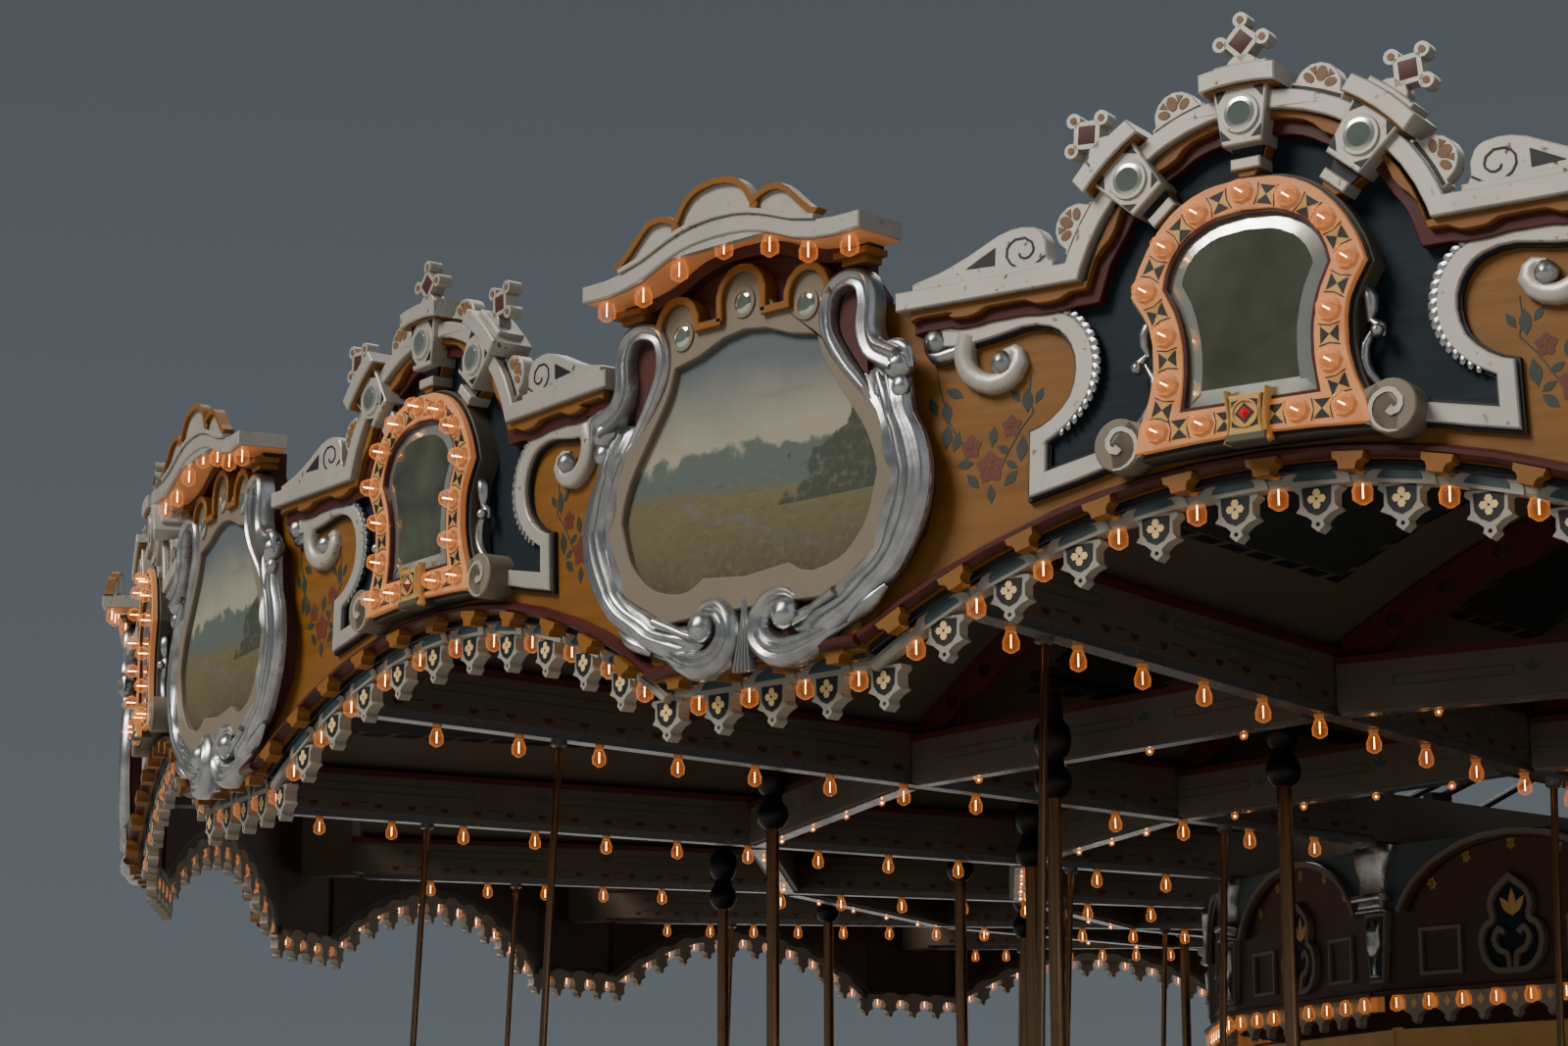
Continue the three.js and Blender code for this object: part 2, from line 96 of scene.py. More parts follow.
# How far a thinned outline may leave its curve
FLAT_TOLERANCE = 1.2
SWEEP_TOLERANCE = 1.9
CARVING_TOLERANCE = 0.8


def sweep_low(radius):
    return SWEEP_Z + SLOPE * (radius - SWEEP_R)


# Outlines and paths
def curve(points, per=6, closed=False):
    p = np.asarray(points, float)
    if closed:
        p = np.vstack([p[-1:], p, p[:2]])
    else:
        p = np.vstack([2 * p[0] - p[1], p, 2 * p[-1] - p[-2]])
    out = []
    for a, b, c, d in zip(p, p[1:], p[2:], p[3:]):
        for t in np.arange(per) / per:
            cubic = (3 * b - a - 3 * c + d) * t ** 3
            out.append(0.5 * (2 * b + (c - a) * t + (2 * a - 5 * b + 4 * c - d) * t * t + cubic))
    if not closed:
        out.append(p[-2])
    return np.array(out)


def runs(start, *smooth):
    """The start's points, then smooth runs, each from where the last one ended."""
    out = np.array(start, float)
    for points, per in smooth:
        out = np.vstack([out, curve([out[-1], *points], per)[1:]])
    return out


def arc(x, z, radius, start, end, parts=12, tall=1.0):
    t = np.radians(np.linspace(start, end, parts + 1))
    return np.stack([x + radius * np.cos(t), z + tall * radius * np.sin(t)], 1)


def bow(apex, radius, half, parts=24):
    x = np.linspace(-half, half, parts + 1)
    return np.stack([x, apex - radius + np.sqrt(radius ** 2 - x ** 2)], 1)


def both(half):
    half = np.asarray(half, float)
    left = half[::-1] * [-1, 1]
    return np.vstack([half, left[np.abs(left[:, 0]) > 0.01]])


def lengths(path):
    """How far along the path each of its points lies."""
    return np.cumsum(np.linalg.norm(np.diff(path, axis=0, prepend=path[:1]), axis=1))


def points_at(path, steps):
    far = lengths(path)
    return np.stack([np.interp(steps, far, path[:, 0]), np.interp(steps, far, path[:, 1])], 1)


def mirrored(values):
    """Each value and its opposite, with zero only once."""
    return [x * side for x in values for side in ((1,) if x == 0 else (1, -1))]


def area(loop):
    x, z = loop.T
    return 0.5 * np.sum(x * np.roll(z, -1) - np.roll(x, -1) * z)


def normals(loop, closed):
    before = np.roll(loop, 1, 0)
    after = np.roll(loop, -1, 0)
    if not closed:
        before[0] = 2 * loop[0] - loop[1]
        after[-1] = 2 * loop[-1] - loop[-2]
    u = loop - before
    v = after - loop
    u /= np.maximum(np.linalg.norm(u, axis=1), 1e-6)[:, None]
    v /= np.maximum(np.linalg.norm(v, axis=1), 1e-6)[:, None]
    m = np.stack([-u[:, 1] - v[:, 1], u[:, 0] + v[:, 0]], 1)
    return 2 * m / np.maximum((m * m).sum(1), 0.9)[:, None]


def inset(loop, distance):
    loop = np.asarray(loop, float)
    if area(loop) < 0:
        loop = loop[::-1]
    return loop + normals(loop, True) * distance


def kept(points, tolerance, closed=True):
    """The points that an outline needs to stay within the tolerance, by number."""
    points = np.asarray(points, float)
    p = np.vstack([points, points[:1]]) if closed else points
    keep, spans = {0}, [(0, len(p) - 1)]
    if not closed:
        keep.add(len(p) - 1)
    while spans:
        a, b = spans.pop()
        if b - a < 2:
            continue
        span = p[b] - p[a]
        away = p[a + 1:b] - p[a]
        share = np.clip(away @ span / max(span @ span, 1e-9), 0, 1)
        gap = np.linalg.norm(away - share[:, None] * span, axis=1)
        k = a + 1 + int(np.argmax(gap))
        if gap.max() > tolerance:
            keep.add(k)
            spans += [(a, k), (k, b)]
    return sorted(keep)


# Solids: each is its points and its faces
def outward(co, faces):
    total = 0.0
    for face in faces:
        a = co[face[0]]
        for i in range(1, len(face) - 1):
            total += np.dot(a, np.cross(co[face[i]], co[face[i + 1]]))
    return (co, faces) if total > 0 else (co, [face[::-1] for face in faces])


def join(*parts):
    co, faces, start = [], [], 0
    for points, shapes in parts:
        co.append(points)
        faces += [[i + start for i in face] for face in shapes]
        start += len(points)
    return np.vstack(co), faces


def flat(loops, d0, d1, chamfer=0.0):
    loops = [np.asarray(loop, float)[kept(loop, FLAT_TOLERANCE)] for loop in loops]
    loops = [loop if (area(loop) > 0) == (i == 0) else loop[::-1] for i, loop in enumerate(loops)]
    levels = [(0.0, d0), (0.0, d1 - chamfer)]
    if chamfer:
        levels.append((chamfer, d1))
    count = sum(len(loop) for loop in loops)
    co = []
    for shift, depth in levels:
        for loop in loops:
            moved = loop + normals(loop, True) * shift
            co.append(np.column_stack([moved, np.full(len(loop), depth)]))
    faces = []
    for level in range(len(levels) - 1):
        start = level * count
        for loop in loops:
            size = len(loop)
            for i in range(size):
                j = (i + 1) % size
                faces.append([start + i, start + j, start + count + j, start + count + i])
            start += size
    flat_loops = [[Vector((x, z, 0)) for x, z in loop] for loop in loops]
    points = np.vstack(loops)
    last = (len(levels) - 1) * count
    for a, b, c in tessellate_polygon(flat_loops):
        if np.cross(points[b] - points[a], points[c] - points[a]) < 0:
            b, c = c, b
        faces.append([last + a, last + b, last + c])
        faces.append([a, c, b])
    return np.vstack(co), faces


def sweep(path, profile, scale=None, closed=False, tolerance=SWEEP_TOLERANCE):
    path = np.asarray(path, float)
    profile = np.asarray(profile, float)
    scale = np.ones(len(path)) if scale is None else np.asarray(scale)
    if not closed:
        reach = np.abs(profile[:, 0]).max()
        keep = kept(np.column_stack([path, reach * scale]), tolerance, False)
        path, scale = path[keep], scale[keep]
    side = normals(path, closed)
    base = profile[:, 1].min()
    rows, size = len(path), len(profile)
    co = np.zeros((rows, size, 3))
    for j, (a, b) in enumerate(profile):
        co[:, j, :2] = path + side * (a * scale)[:, None]
        co[:, j, 2] = base + (b - base) * scale
    faces = []
    for i in range(rows if closed else rows - 1):
        k = (i + 1) % rows
        for j in range(size):
            n = (j + 1) % size
            faces.append([i * size + j, i * size + n, k * size + n, k * size + j])
    if not closed:
        faces.append(list(range(size))[::-1])
        faces.append([(rows - 1) * size + j for j in range(size)])
    return outward(co.reshape(-1, 3), faces)


def skin(rows, sides):
    """The faces of a skin over rings of points, with a cap at each end."""
    faces = [list(range(sides))[::-1], [(rows - 1) * sides + i for i in range(sides)]]
    for k in range(rows - 1):
        for i in range(sides):
            j = (i + 1) % sides
            faces.append([k * sides + i, k * sides + j, (k + 1) * sides + j, (k + 1) * sides + i])
    return faces


def lathe(profile, sides=12):
    t = 2 * np.pi * np.arange(sides) / sides
    co = []
    for radius, height in profile:
        radius = max(radius, 0.05)
        co.append(np.stack([radius * np.cos(t), np.full(sides, height), radius * np.sin(t)], 1))
    return outward(np.vstack(co), skin(len(profile), sides))


def tube(points, radii, sides, up):
    p = np.asarray(points, float)
    radii = np.broadcast_to(np.asarray(radii, float), (len(p),))
    way = np.gradient(p, axis=0)
    way /= np.linalg.norm(way, axis=1)[:, None]
    across = np.cross(way, up)
    across /= np.maximum(np.linalg.norm(across, axis=1), 1e-6)[:, None]
    over = np.cross(across, way)
    t = 2 * np.pi * np.arange(sides) / sides
    ring = across[:, None] * np.cos(t)[None, :, None] + over[:, None] * np.sin(t)[None, :, None]
    co = (p[:, None] + ring * radii[:, None, None]).reshape(-1, 3)
    return outward(co, skin(len(p), sides))


def plate(half, d0, d1, chamfer=0.0):
    """A flat solid from the right half of its outline."""
    return flat([both(half)], d0, d1, chamfer)


def block(x0, x1, z0, z1, d0, d1, chamfer=0.0):
    return flat([[(x0, z0), (x1, z0), (x1, z1), (x0, z1)]], d0, d1, chamfer)


def ball(radius, x=0, z=0, d=0, squash=1.0, sides=10, rings=6):
    t = np.radians(np.linspace(-90, 90, rings))
    co, faces = lathe([(radius * math.cos(a), radius * squash * math.sin(a)) for a in t], sides)
    return move((co[:, [0, 2, 1]] * [1, 1, -1], faces), x, z, d)


def move(part, x=0.0, z=0.0, d=0.0):
    return part[0] + [x, z, d], part[1]


def turn(part, degrees):
    c, s = math.cos(math.radians(degrees)), math.sin(math.radians(degrees))
    x, z, d = part[0].T
    return np.stack([x * c - z * s, x * s + z * c, d], 1), part[1]


def mirror(part):
    return part[0] * [-1, 1, 1], [face[::-1] for face in part[1]]


def pair(part):
    return join(part, mirror(part))


def face_out(part):
    return part[0][:, [0, 2, 1]] * [1, 1, -1], part[1]


def polar(middle, radius, degrees):
    angle = math.radians(degrees)
    return middle[0] + radius * math.cos(angle), middle[1] + radius * math.sin(angle)


def ribbon(half, d0, d1):
    return [(-half, d0), (half, d0), (half, d1), (-half, d1)]


def half_round(radius, base, tall=1.0, parts=6):
    t = np.linspace(0, np.pi, parts + 1)
    return [(radius * math.cos(a), base + tall * radius * math.sin(a)) for a in t]


def rect(half, d0, d1, chamfer=3.0):
    return [(-half, d0), (half, d0), (half, d1 - chamfer), (half - chamfer, d1),
            (-half + chamfer, d1), (-half, d1 - chamfer)]


# Pieces: joined meshes of one material
PIECES = []


class Piece:
    def __init__(self, name, look, slot, body="rotor", sharp=38):
        self.name, self.look, self.slot, self.body, self.sharp = name, look, slot, body, sharp
        self.blocks = []
        PIECES.append(self)

    def put(self, part, angles=BAYS):
        """Adds the part, given in a board's frame, at each of the angles."""
        co, faces = part
        loops = np.concatenate([np.asarray(face) for face in faces])
        sizes = np.array([len(face) for face in faces])
        x, z, d = co.T
        for angle in angles:
            c, s = math.cos(angle), math.sin(angle)
            world = np.stack([d * c - x * s, d * s + x * c, z], 1) * MM
            self.blocks.append((world, co[:, :2] * MM, loops, sizes))

    def build(self):
        start = np.cumsum([0] + [len(b[0]) for b in self.blocks])
        co = np.vstack([b[0] for b in self.blocks])
        uv = np.vstack([b[1] for b in self.blocks])
        loops = np.concatenate([b[2] + s for b, s in zip(self.blocks, start)])
        sizes = np.concatenate([b[3] for b in self.blocks])
        mesh = bpy.data.meshes.new(self.name)
        mesh.vertices.add(len(co))
        mesh.vertices.foreach_set("co", co.ravel())
        mesh.loops.add(len(loops))
        mesh.loops.foreach_set("vertex_index", loops.astype(np.int32))
        mesh.polygons.add(len(sizes))
        mesh.polygons.foreach_set("loop_start", (np.cumsum(sizes) - sizes).astype(np.int32))
        mesh.update(calc_edges=True)
        layer = mesh.uv_layers.new(name="board")
        layer.data.foreach_set("uv", uv[loops].ravel())
        mesh.polygons.foreach_set("use_smooth", np.ones(len(sizes), bool))
        mesh.set_sharp_from_angle(angle=math.radians(self.sharp))
        mesh.materials.append(self.look.material)
        obj = bpy.data.objects.new(self.name, mesh)
        bpy.context.scene.collection.objects.link(obj)
        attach(obj, self.body)
        return obj


# Materials
class Field:
    """A number in a shader tree, so that patterns read as sums."""

    def __init__(self, tree, value):
        self.tree, self.value = tree, value

    def math(self, kind, *others, clamp=False):
        node = self.tree.nodes.new("ShaderNodeMath")
        node.operation = kind
        node.use_clamp = clamp
        for socket, item in zip(node.inputs, (self, *others)):
            item = item.value if isinstance(item, Field) else item
            if isinstance(item, bpy.types.NodeSocket):
                self.tree.links.new(item, socket)
            else:
                socket.default_value = item
        return Field(self.tree, node.outputs[0])

    def __add__(self, other):
        return self.math("ADD", other)

    def __sub__(self, other):
        return self.math("SUBTRACT", other)

    def __mul__(self, other):
        return self.math("MULTIPLY", other)

    def ramp(self, low, high):
        return ((self - low) * (1 / (high - low))).math("ADD", 0.0, clamp=True)

    def within(self, low, high):
        return self.math("GREATER_THAN", low) * self.math("LESS_THAN", high)


class Surface:
    def __init__(self, name, colour, rough, metal=0.0, mottle=0.0, grain=None, bump=0.0, scale=6.0):
        self.material = bpy.data.materials.new(name)
        self.material.use_nodes = True
        self.tree = self.material.node_tree
        self.shader = self.tree.nodes["Principled BSDF"]
        self.shader.inputs["Roughness"].default_value = rough
        self.shader.inputs["Metallic"].default_value = metal
        self.shader.inputs["Specular IOR Level"].default_value = 0.3
        self.last = self.colour_node(colour)
        noise = self.noise(scale)
        if mottle:
            dark = tuple(c * (1 - mottle) for c in colour)
            self.paint(dark, noise.ramp(0.35, 0.7))
            self.link(noise.ramp(0.2, 0.9) * 0.18 + (rough - 0.08), "Roughness")
        if grain:
            streaks = self.noise(grain[0], "UV", (1.0, grain[1], 1.0))
            self.paint(tuple(c * grain[2] for c in colour), streaks.ramp(0.42, 0.72))
            noise = streaks
        if bump:
            self.bump(noise, bump)

    def colour_node(self, colour):
        node = self.tree.nodes.new("ShaderNodeRGB")
        node.outputs[0].default_value = (*colour, 1.0)
        self.tree.links.new(node.outputs[0], self.shader.inputs["Base Color"])
        return node.outputs[0]

    def source(self, kind):
        node = self.tree.nodes.new("ShaderNodeTexCoord")
        return node.outputs[kind]

    def noise(self, scale, kind="Object", stretch=(1.0, 1.0, 1.0), detail=5.0):
        mapping = self.tree.nodes.new("ShaderNodeMapping")
        mapping.inputs["Scale"].default_value = stretch
        self.tree.links.new(self.source(kind), mapping.inputs["Vector"])
        node = self.tree.nodes.new("ShaderNodeTexNoise")
        node.inputs["Scale"].default_value = scale
        node.inputs["Detail"].default_value = detail
        self.tree.links.new(mapping.outputs[0], node.inputs["Vector"])
        return Field(self.tree, node.outputs["Fac"])

    def place(self):
        node = self.tree.nodes.new("ShaderNodeSeparateXYZ")
        self.tree.links.new(self.source("UV"), node.inputs[0])
        return [Field(self.tree, node.outputs[i]) for i in range(3)]

    def paint(self, colour, amount):
        node = self.tree.nodes.new("ShaderNodeMix")
        node.data_type = "RGBA"
        self.tree.links.new(amount.value, node.inputs[0])
        self.tree.links.new(self.last, node.inputs[6])
        node.inputs[7].default_value = (*colour, 1.0)
        self.tree.links.new(node.outputs[2], self.shader.inputs["Base Color"])
        self.last = node.outputs[2]

    def link(self, field, name):
        self.tree.links.new(field.value, self.shader.inputs[name])

    def bump(self, field, strength, distance=0.004):
        node = self.tree.nodes.new("ShaderNodeBump")
        node.inputs["Strength"].default_value = strength
        node.inputs["Distance"].default_value = distance
        self.tree.links.new(field.value, node.inputs["Height"])
        self.tree.links.new(node.outputs[0], self.shader.inputs["Normal"])

    def glow(self, colour, strength):
        self.shader.inputs["Emission Color"].default_value = (*colour, 1.0)
        self.shader.inputs["Emission Strength"].default_value = strength
        return self


LAMP_TINT = (1.0, 0.335, 0.070)
ochre = Surface("ochre_grain", (0.180, 0.073, 0.0090), 0.45, mottle=0.14, grain=(2.2, 16, 0.72), bump=0.12)
ochre_plain = Surface("ochre_moulding", (0.195, 0.076, 0.0105), 0.45, mottle=0.2)
navy = Surface("navy_panel", (0.0085, 0.0155, 0.0225), 0.62, mottle=0.3, grain=(3.0, 18, 1.15), bump=0.12)
navy.shader.inputs["Specular IOR Level"].default_value = 0.15
maroon = Surface("maroon_enamel", (0.062, 0.012, 0.010), 0.36, mottle=0.25)
maroon_wood = Surface("maroon_panel", (0.062, 0.014, 0.011), 0.55, mottle=0.2, grain=(5.0, 8, 0.8), bump=0.1)
taupe = Surface("taupe_frame", (0.165, 0.136, 0.100), 0.5, mottle=0.12)
# The band's own peach paint, plus a glow that stands in for its bulbs' light falling on it: painted light.
peach_painted_glow = Surface("lamp_band", (0.44, 0.20, 0.085), 0.42, mottle=0.12).glow((1.0, 0.30, 0.06), 0.20)
gold = Surface("gold_paint", (0.52, 0.31, 0.10), 0.36, metal=0.25, mottle=0.2)
black = Surface("black_line", (0.012, 0.013, 0.015), 0.45, mottle=0.2)
olive = Surface("olive_edge", (0.070, 0.062, 0.042), 0.5, mottle=0.2)
grey = Surface("grey_fretwork", (0.27, 0.248, 0.21), 0.45, mottle=0.15)
cream = Surface("cream_petal", (0.72, 0.50, 0.22), 0.45, mottle=0.15)
teal = Surface("teal_inlay", (0.040, 0.066, 0.074), 0.42, mottle=0.2)
back_wood = Surface("board_back", (0.045, 0.020, 0.009), 0.5, mottle=0.3, grain=(2.2, 14, 0.72), bump=0.1)
# A dark brown, far darker than the outer boards' ochre: painted shade for the dim inner cornice.
inner_brown = Surface("inner_board", (0.060, 0.022, 0.011), 0.42, mottle=0.3, grain=(3.0, 12, 0.8), bump=0.1)
leaf_green = Surface("stencil_green", (0.026, 0.034, 0.028), 0.5, mottle=0.25)
petal_red = Surface("stencil_red", (0.105, 0.026, 0.016), 0.5, mottle=0.25)
brown = Surface("cutout_brown", (0.17, 0.085, 0.035), 0.5, mottle=0.2)
jewel = Surface("jewel_red", (0.55, 0.008, 0.02), 0.06, mottle=0.1)
carved = Surface("carved_silver", (0.40, 0.405, 0.405), 0.30, metal=0.92, mottle=0.35, bump=0.3, scale=22)
# A dark, mottled green-grey mirror colour: painted reflection of dark foliage.
dark_mirror_painted_reflection = Surface("mirror_glass", (0.30, 0.31, 0.22), 0.10, metal=0.85, mottle=0.5, scale=9)
# A paler tint than the mirror, for the bevels and the drum mirrors: painted reflection that makes them look
# bright.
pale_glass_painted_reflection = Surface("bevelled_glass", (0.62, 0.64, 0.56), 0.20, metal=0.85, mottle=0.2, scale=14)
# A pale grey-green tint for the round mirrors: painted reflection.
lens = Surface("round_mirror", (0.55, 0.62, 0.52), 0.08, metal=0.9, mottle=0.3, scale=14)
brass = Surface("brass_tube", (0.30, 0.185, 0.105), 0.24, metal=1.0, mottle=0.3)
iron = Surface("black_iron", (0.014, 0.014, 0.016), 0.42, metal=0.4, mottle=0.2, bump=0.1)
beam = Surface("beam_paint", (0.092, 0.070, 0.050), 0.5, mottle=0.18)
strip = Surface("lamp_channel", (0.16, 0.165, 0.17), 0.28, metal=0.6, mottle=0.15)
rib = Surface("rib_maroon", (0.070, 0.012, 0.009), 0.45, mottle=0.3)
beam_green = Surface("beam_stencil", (0.040, 0.058, 0.046), 0.5, mottle=0.2)
planks = Surface("deck_planks", (0.27, 0.165, 0.085), 0.42, mottle=0.2, bump=0.1)
timber = Surface("sill_timber", (0.20, 0.135, 0.08), 0.6, mottle=0.3, bump=0.2)
mast_cream = Surface("mast_cream", (0.60, 0.50, 0.33), 0.45, mottle=0.15)
ivory = Surface("horse_ivory", (0.74, 0.69, 0.58), 0.26, mottle=0.08)
chestnut = Surface("horse_chestnut", (0.20, 0.085, 0.035), 0.26, mottle=0.3)
mane = Surface("horse_mane", (0.36, 0.24, 0.11), 0.4, mottle=0.35, bump=0.4, scale=30)
leather = Surface("saddle_leather", (0.14, 0.030, 0.022), 0.35, mottle=0.3)
# An orange colour with a glow, for the crown's silver underside and over the inner lamps: painted lamplight.
soffit_painted_lamplight = Surface("lit_soffit", (0.40, 0.20, 0.10), 0.5, mottle=0.2).glow((1.0, 0.34, 0.09), 0.14)
# The sockets and face-lamp seats glow orange although they are no lamps: painted light from their bulbs.
socket = Surface("lamp_socket", (0.20, 0.10, 0.045), 0.45, metal=0.3, mottle=0.2)
socket.glow((1.0, 0.30, 0.05), 0.16)


def worn_silver():
    s = Surface("silver_leaf", (0.44, 0.412, 0.36), 0.42, metal=0.4, mottle=0.22, bump=0.10, scale=5)
    s.paint((0.33, 0.30, 0.26), s.noise(3.0, detail=2.0).ramp(0.55, 0.60) * 0.35)
    s.paint((0.10, 0.08, 0.06), s.noise(46, detail=2.0).ramp(0.66, 0.70) * s.noise(6).ramp(0.42, 0.60))
    return s


silver = worn_silver()


def lamp_glass():
    s = Surface("clear_bulb", (0.62, 0.16, 0.03), 0.12, mottle=0.02)
    s.shader.inputs["Specular IOR Level"].default_value = 0.35
    node = s.tree.nodes.new("ShaderNodeLayerWeight")
    node.inputs["Blend"].default_value = 0.4
    s.link(Field(s.tree, node.outputs["Facing"]).math("POWER", 1.5) * 0.55 + 0.12, "Alpha")
    return s.glow(LAMP_TINT, 0.50)


bulb_glass = lamp_glass()
filament = Surface("filament", (1.0, 0.6, 0.3), 0.5, mottle=0.02).glow((1.0, 0.46, 0.14), 15.0)


def landscape():
    """A meadow with a stream and a stand of trees, on the panel's own x and z in metres."""
    s = Surface("painted_view", (0.080, 0.094, 0.102), 0.6, mottle=0.05)
    x, z, _ = s.place()
    soft = s.noise(7, "UV") - 0.5
    fine = s.noise(48, "UV", detail=8.0) - 0.5
    brush = s.noise(30, "UV", (1.0, 3.0, 1.0), 8.0) - 0.5
    lumps = s.noise(15, "UV", detail=4.0) - 0.5
    down = z * -1.0
    s.paint((0.240, 0.220, 0.164), (down + soft * 0.10).ramp(-3.54, -3.38))
    streak = s.noise(5, "UV", (1.0, 9.0, 1.0)).ramp(0.58, 0.66) * z.within(3.40, 3.49)
    s.paint((0.160, 0.108, 0.092), streak * 0.55)
    hills = down - soft * 0.06 - lumps * 0.10 - fine * 0.03
    s.paint((0.068, 0.088, 0.080), hills.ramp(-3.350, -3.335))
    s.paint((0.076, 0.083, 0.056), hills.ramp(-3.345, -3.33) * fine.ramp(0.0, 0.14) * 0.7)
    s.paint((0.099, 0.086, 0.040), (down - soft * 0.05 - x * 0.06 - fine * 0.02).ramp(-3.27, -3.245))
    crowns = down + x * 1.05 - soft * 0.34 - lumps * 0.30 - fine * 0.08
    s.paint((0.030, 0.038, 0.025), crowns.ramp(-3.10, -3.075) * z.within(3.205, 3.45))
    sunlit = crowns.ramp(-3.09, -3.05) * fine.ramp(0.0, 0.15) * z.within(3.22, 3.44)
    s.paint((0.069, 0.071, 0.034), sunlit * 0.8)
    bank = z + x * 0.35 + soft * 0.14 + fine * 0.02
    s.paint((0.089, 0.096, 0.083), bank.within(3.172, 3.188) * z.within(3.08, 3.25) * 0.7)
    s.paint((0.053, 0.042, 0.022), (down + soft * 0.20 + lumps * 0.06).ramp(-3.22, -3.02))
    s.paint((0.125, 0.099, 0.050), (fine + soft * 0.5).ramp(0.02, 0.20) * z.within(2.98, 3.25) * 0.45)
    s.paint((0.033, 0.029, 0.020), (brush * -1.0).ramp(0.02, 0.22) * z.within(2.9, 3.30) * 0.35)
    return s


picture = landscape()


def ceiling_paint():
    """Board paint with a dark inset edged by dashes, on x and radius in metres."""
    s = Surface("ceiling_board", (0.080, 0.062, 0.046), 0.6, mottle=0.12, scale=3)
    x, r, _ = s.place()
    near = r * 0.1763 - x.math("ABSOLUTE")
    for beam_r in BEAMS:
        near = near.math("MINIMUM", (r - beam_r * MM).math("ABSOLUTE") - 0.05)
    near = near.math("MINIMUM", (r * -1.0) + 6.86)
    s.paint((0.016, 0.021, 0.023), near.math("GREATER_THAN", 0.225))
    dash = ((x + r) * 11.0).math("FRACT").math("LESS_THAN", 0.78)
    s.paint((0.006, 0.006, 0.007), near.within(0.200, 0.222) * dash)
    return s


vault_paint = ceiling_paint()

OCHRE = Piece("bay_boards", ochre, "carved_boards")
BACKS = Piece("board_backs", back_wood, "carved_boards")
MOULD = Piece("ochre_mouldings", ochre_plain, "carved_boards")
NAVY = Piece("navy_panels", navy, "carved_boards")
MAROON = Piece("maroon_mouldings", maroon, "maroon_paint")
MAROON_WOOD = Piece("maroon_panels", maroon_wood, "maroon_paint")
SILVER = Piece("silver_cornices", silver, "silver_leaf")
SCROLLS = Piece("silver_scrolls", silver, "silver_leaf")
FINIALS = Piece("silver_finials", silver, "silver_leaf")
CARVED = Piece("carved_frames", carved, "silver_leaf", sharp=60)
ROPES = Piece("twisted_ropes", carved, "silver_leaf", sharp=60)
LOOPS = Piece("carved_loops", carved, "silver_leaf", sharp=60)
CURLS = Piece("carved_curls", carved, "silver_leaf", sharp=60)
TAUPE = Piece("taupe_frames", taupe, "taupe_paint")
PEACH = Piece("lamp_bands", peach_painted_glow, "carved_boards")
GOLD = Piece("gold_inlay", gold, "carved_boards")
BLACK = Piece("black_inlay", black, "iron")
OLIVE = Piece("mirror_backs", olive, "carved_boards")
SOFFIT = Piece("crown_soffits", soffit_painted_lamplight, "carved_boards")
GREY = Piece("lamp_strips", grey, "taupe_paint")
PENDANTS = Piece("pendants", grey, "taupe_paint")
CREAM = Piece("pendant_flowers", cream, "carved_boards")
TEAL = Piece("teal_inlay", teal, "carved_boards")
LEAVES = Piece("stencil_leaves", leaf_green, "carved_boards")
PETALS = Piece("stencil_flowers", petal_red, "maroon_paint")
BROWN = Piece("brown_inlay", brown, "carved_boards")
JEWELS = Piece("jewels", jewel, "maroon_paint")
MIRRORS = Piece("mirrors", dark_mirror_painted_reflection, "mirror_glass")
BEVELS = Piece("mirror_bevels", pale_glass_painted_reflection, "mirror_glass")
LENSES = Piece("round_mirrors", lens, "mirror_glass")
PICTURES = Piece("painted_views", picture, "carved_boards")
BULBS = Piece("lamp_bulbs", bulb_glass, "lamp_glass", sharp=80)
FILAMENTS = Piece("lamp_filaments", filament, "lamp_glass")
SOCKETS = Piece("lamp_sockets", socket, "brass")

BULB_SHAPE = [(12, -10), (21.5, -34), (20, -53), (6, -62)]
GLASS = lathe(BULB_SHAPE, 7)
WIRE = lathe([(1.6, -18), (1.6, -50)], 4)
CAP = lathe([(17, 3), (12, -11)], 5)


def lamp(x, z, d, angles):
    """A clear bulb that hangs with its glass centred on the point given."""
    for piece, part in ((BULBS, GLASS), (FILAMENTS, WIRE), (SOCKETS, CAP)):
        piece.put(move(part, x, z + 40, d), angles)


# Bays
BULB_X = (0, 177, 353, 527, 685, 832)
PENDANT_X = (87, 262, 435, 600, 756)
SCROLL_D = BAY + 24
CORNICE_D = BAY + 63
SPOKE_D = BAY + 76
BAND_D = BAY + 79
ARCH = (396, 435)
BAR_Z = (3562, 3602)
BAR_END = 812
SPOKES = (-40.3, 0, 40.3)
INLAY = 1.2
PAINT = 1.4
NAVY_EDGE = [(0, 3176), (300, 3170), (400, 3166), (505, 3148), (505, 3262), (462, 3262), (424, 3294),
             (392, 3335), (380, 3371), (380, 3425), (398, 3472), (432, 3508), (470, 3524), (470, 3545),
             (405, 3572)]


def strip_z(x):
    return STRIP_APEX - STRIP_R + math.sqrt(STRIP_R ** 2 - x ** 2)


def strip_lean(x):
    return -math.degrees(math.asin(x / STRIP_R))


def spoke(tilt):
    """Turns a part, drawn over the arch's centre, out along a spoke of the arch."""
    return lambda part: move(turn(part, -tilt), z=HUMP_Z)


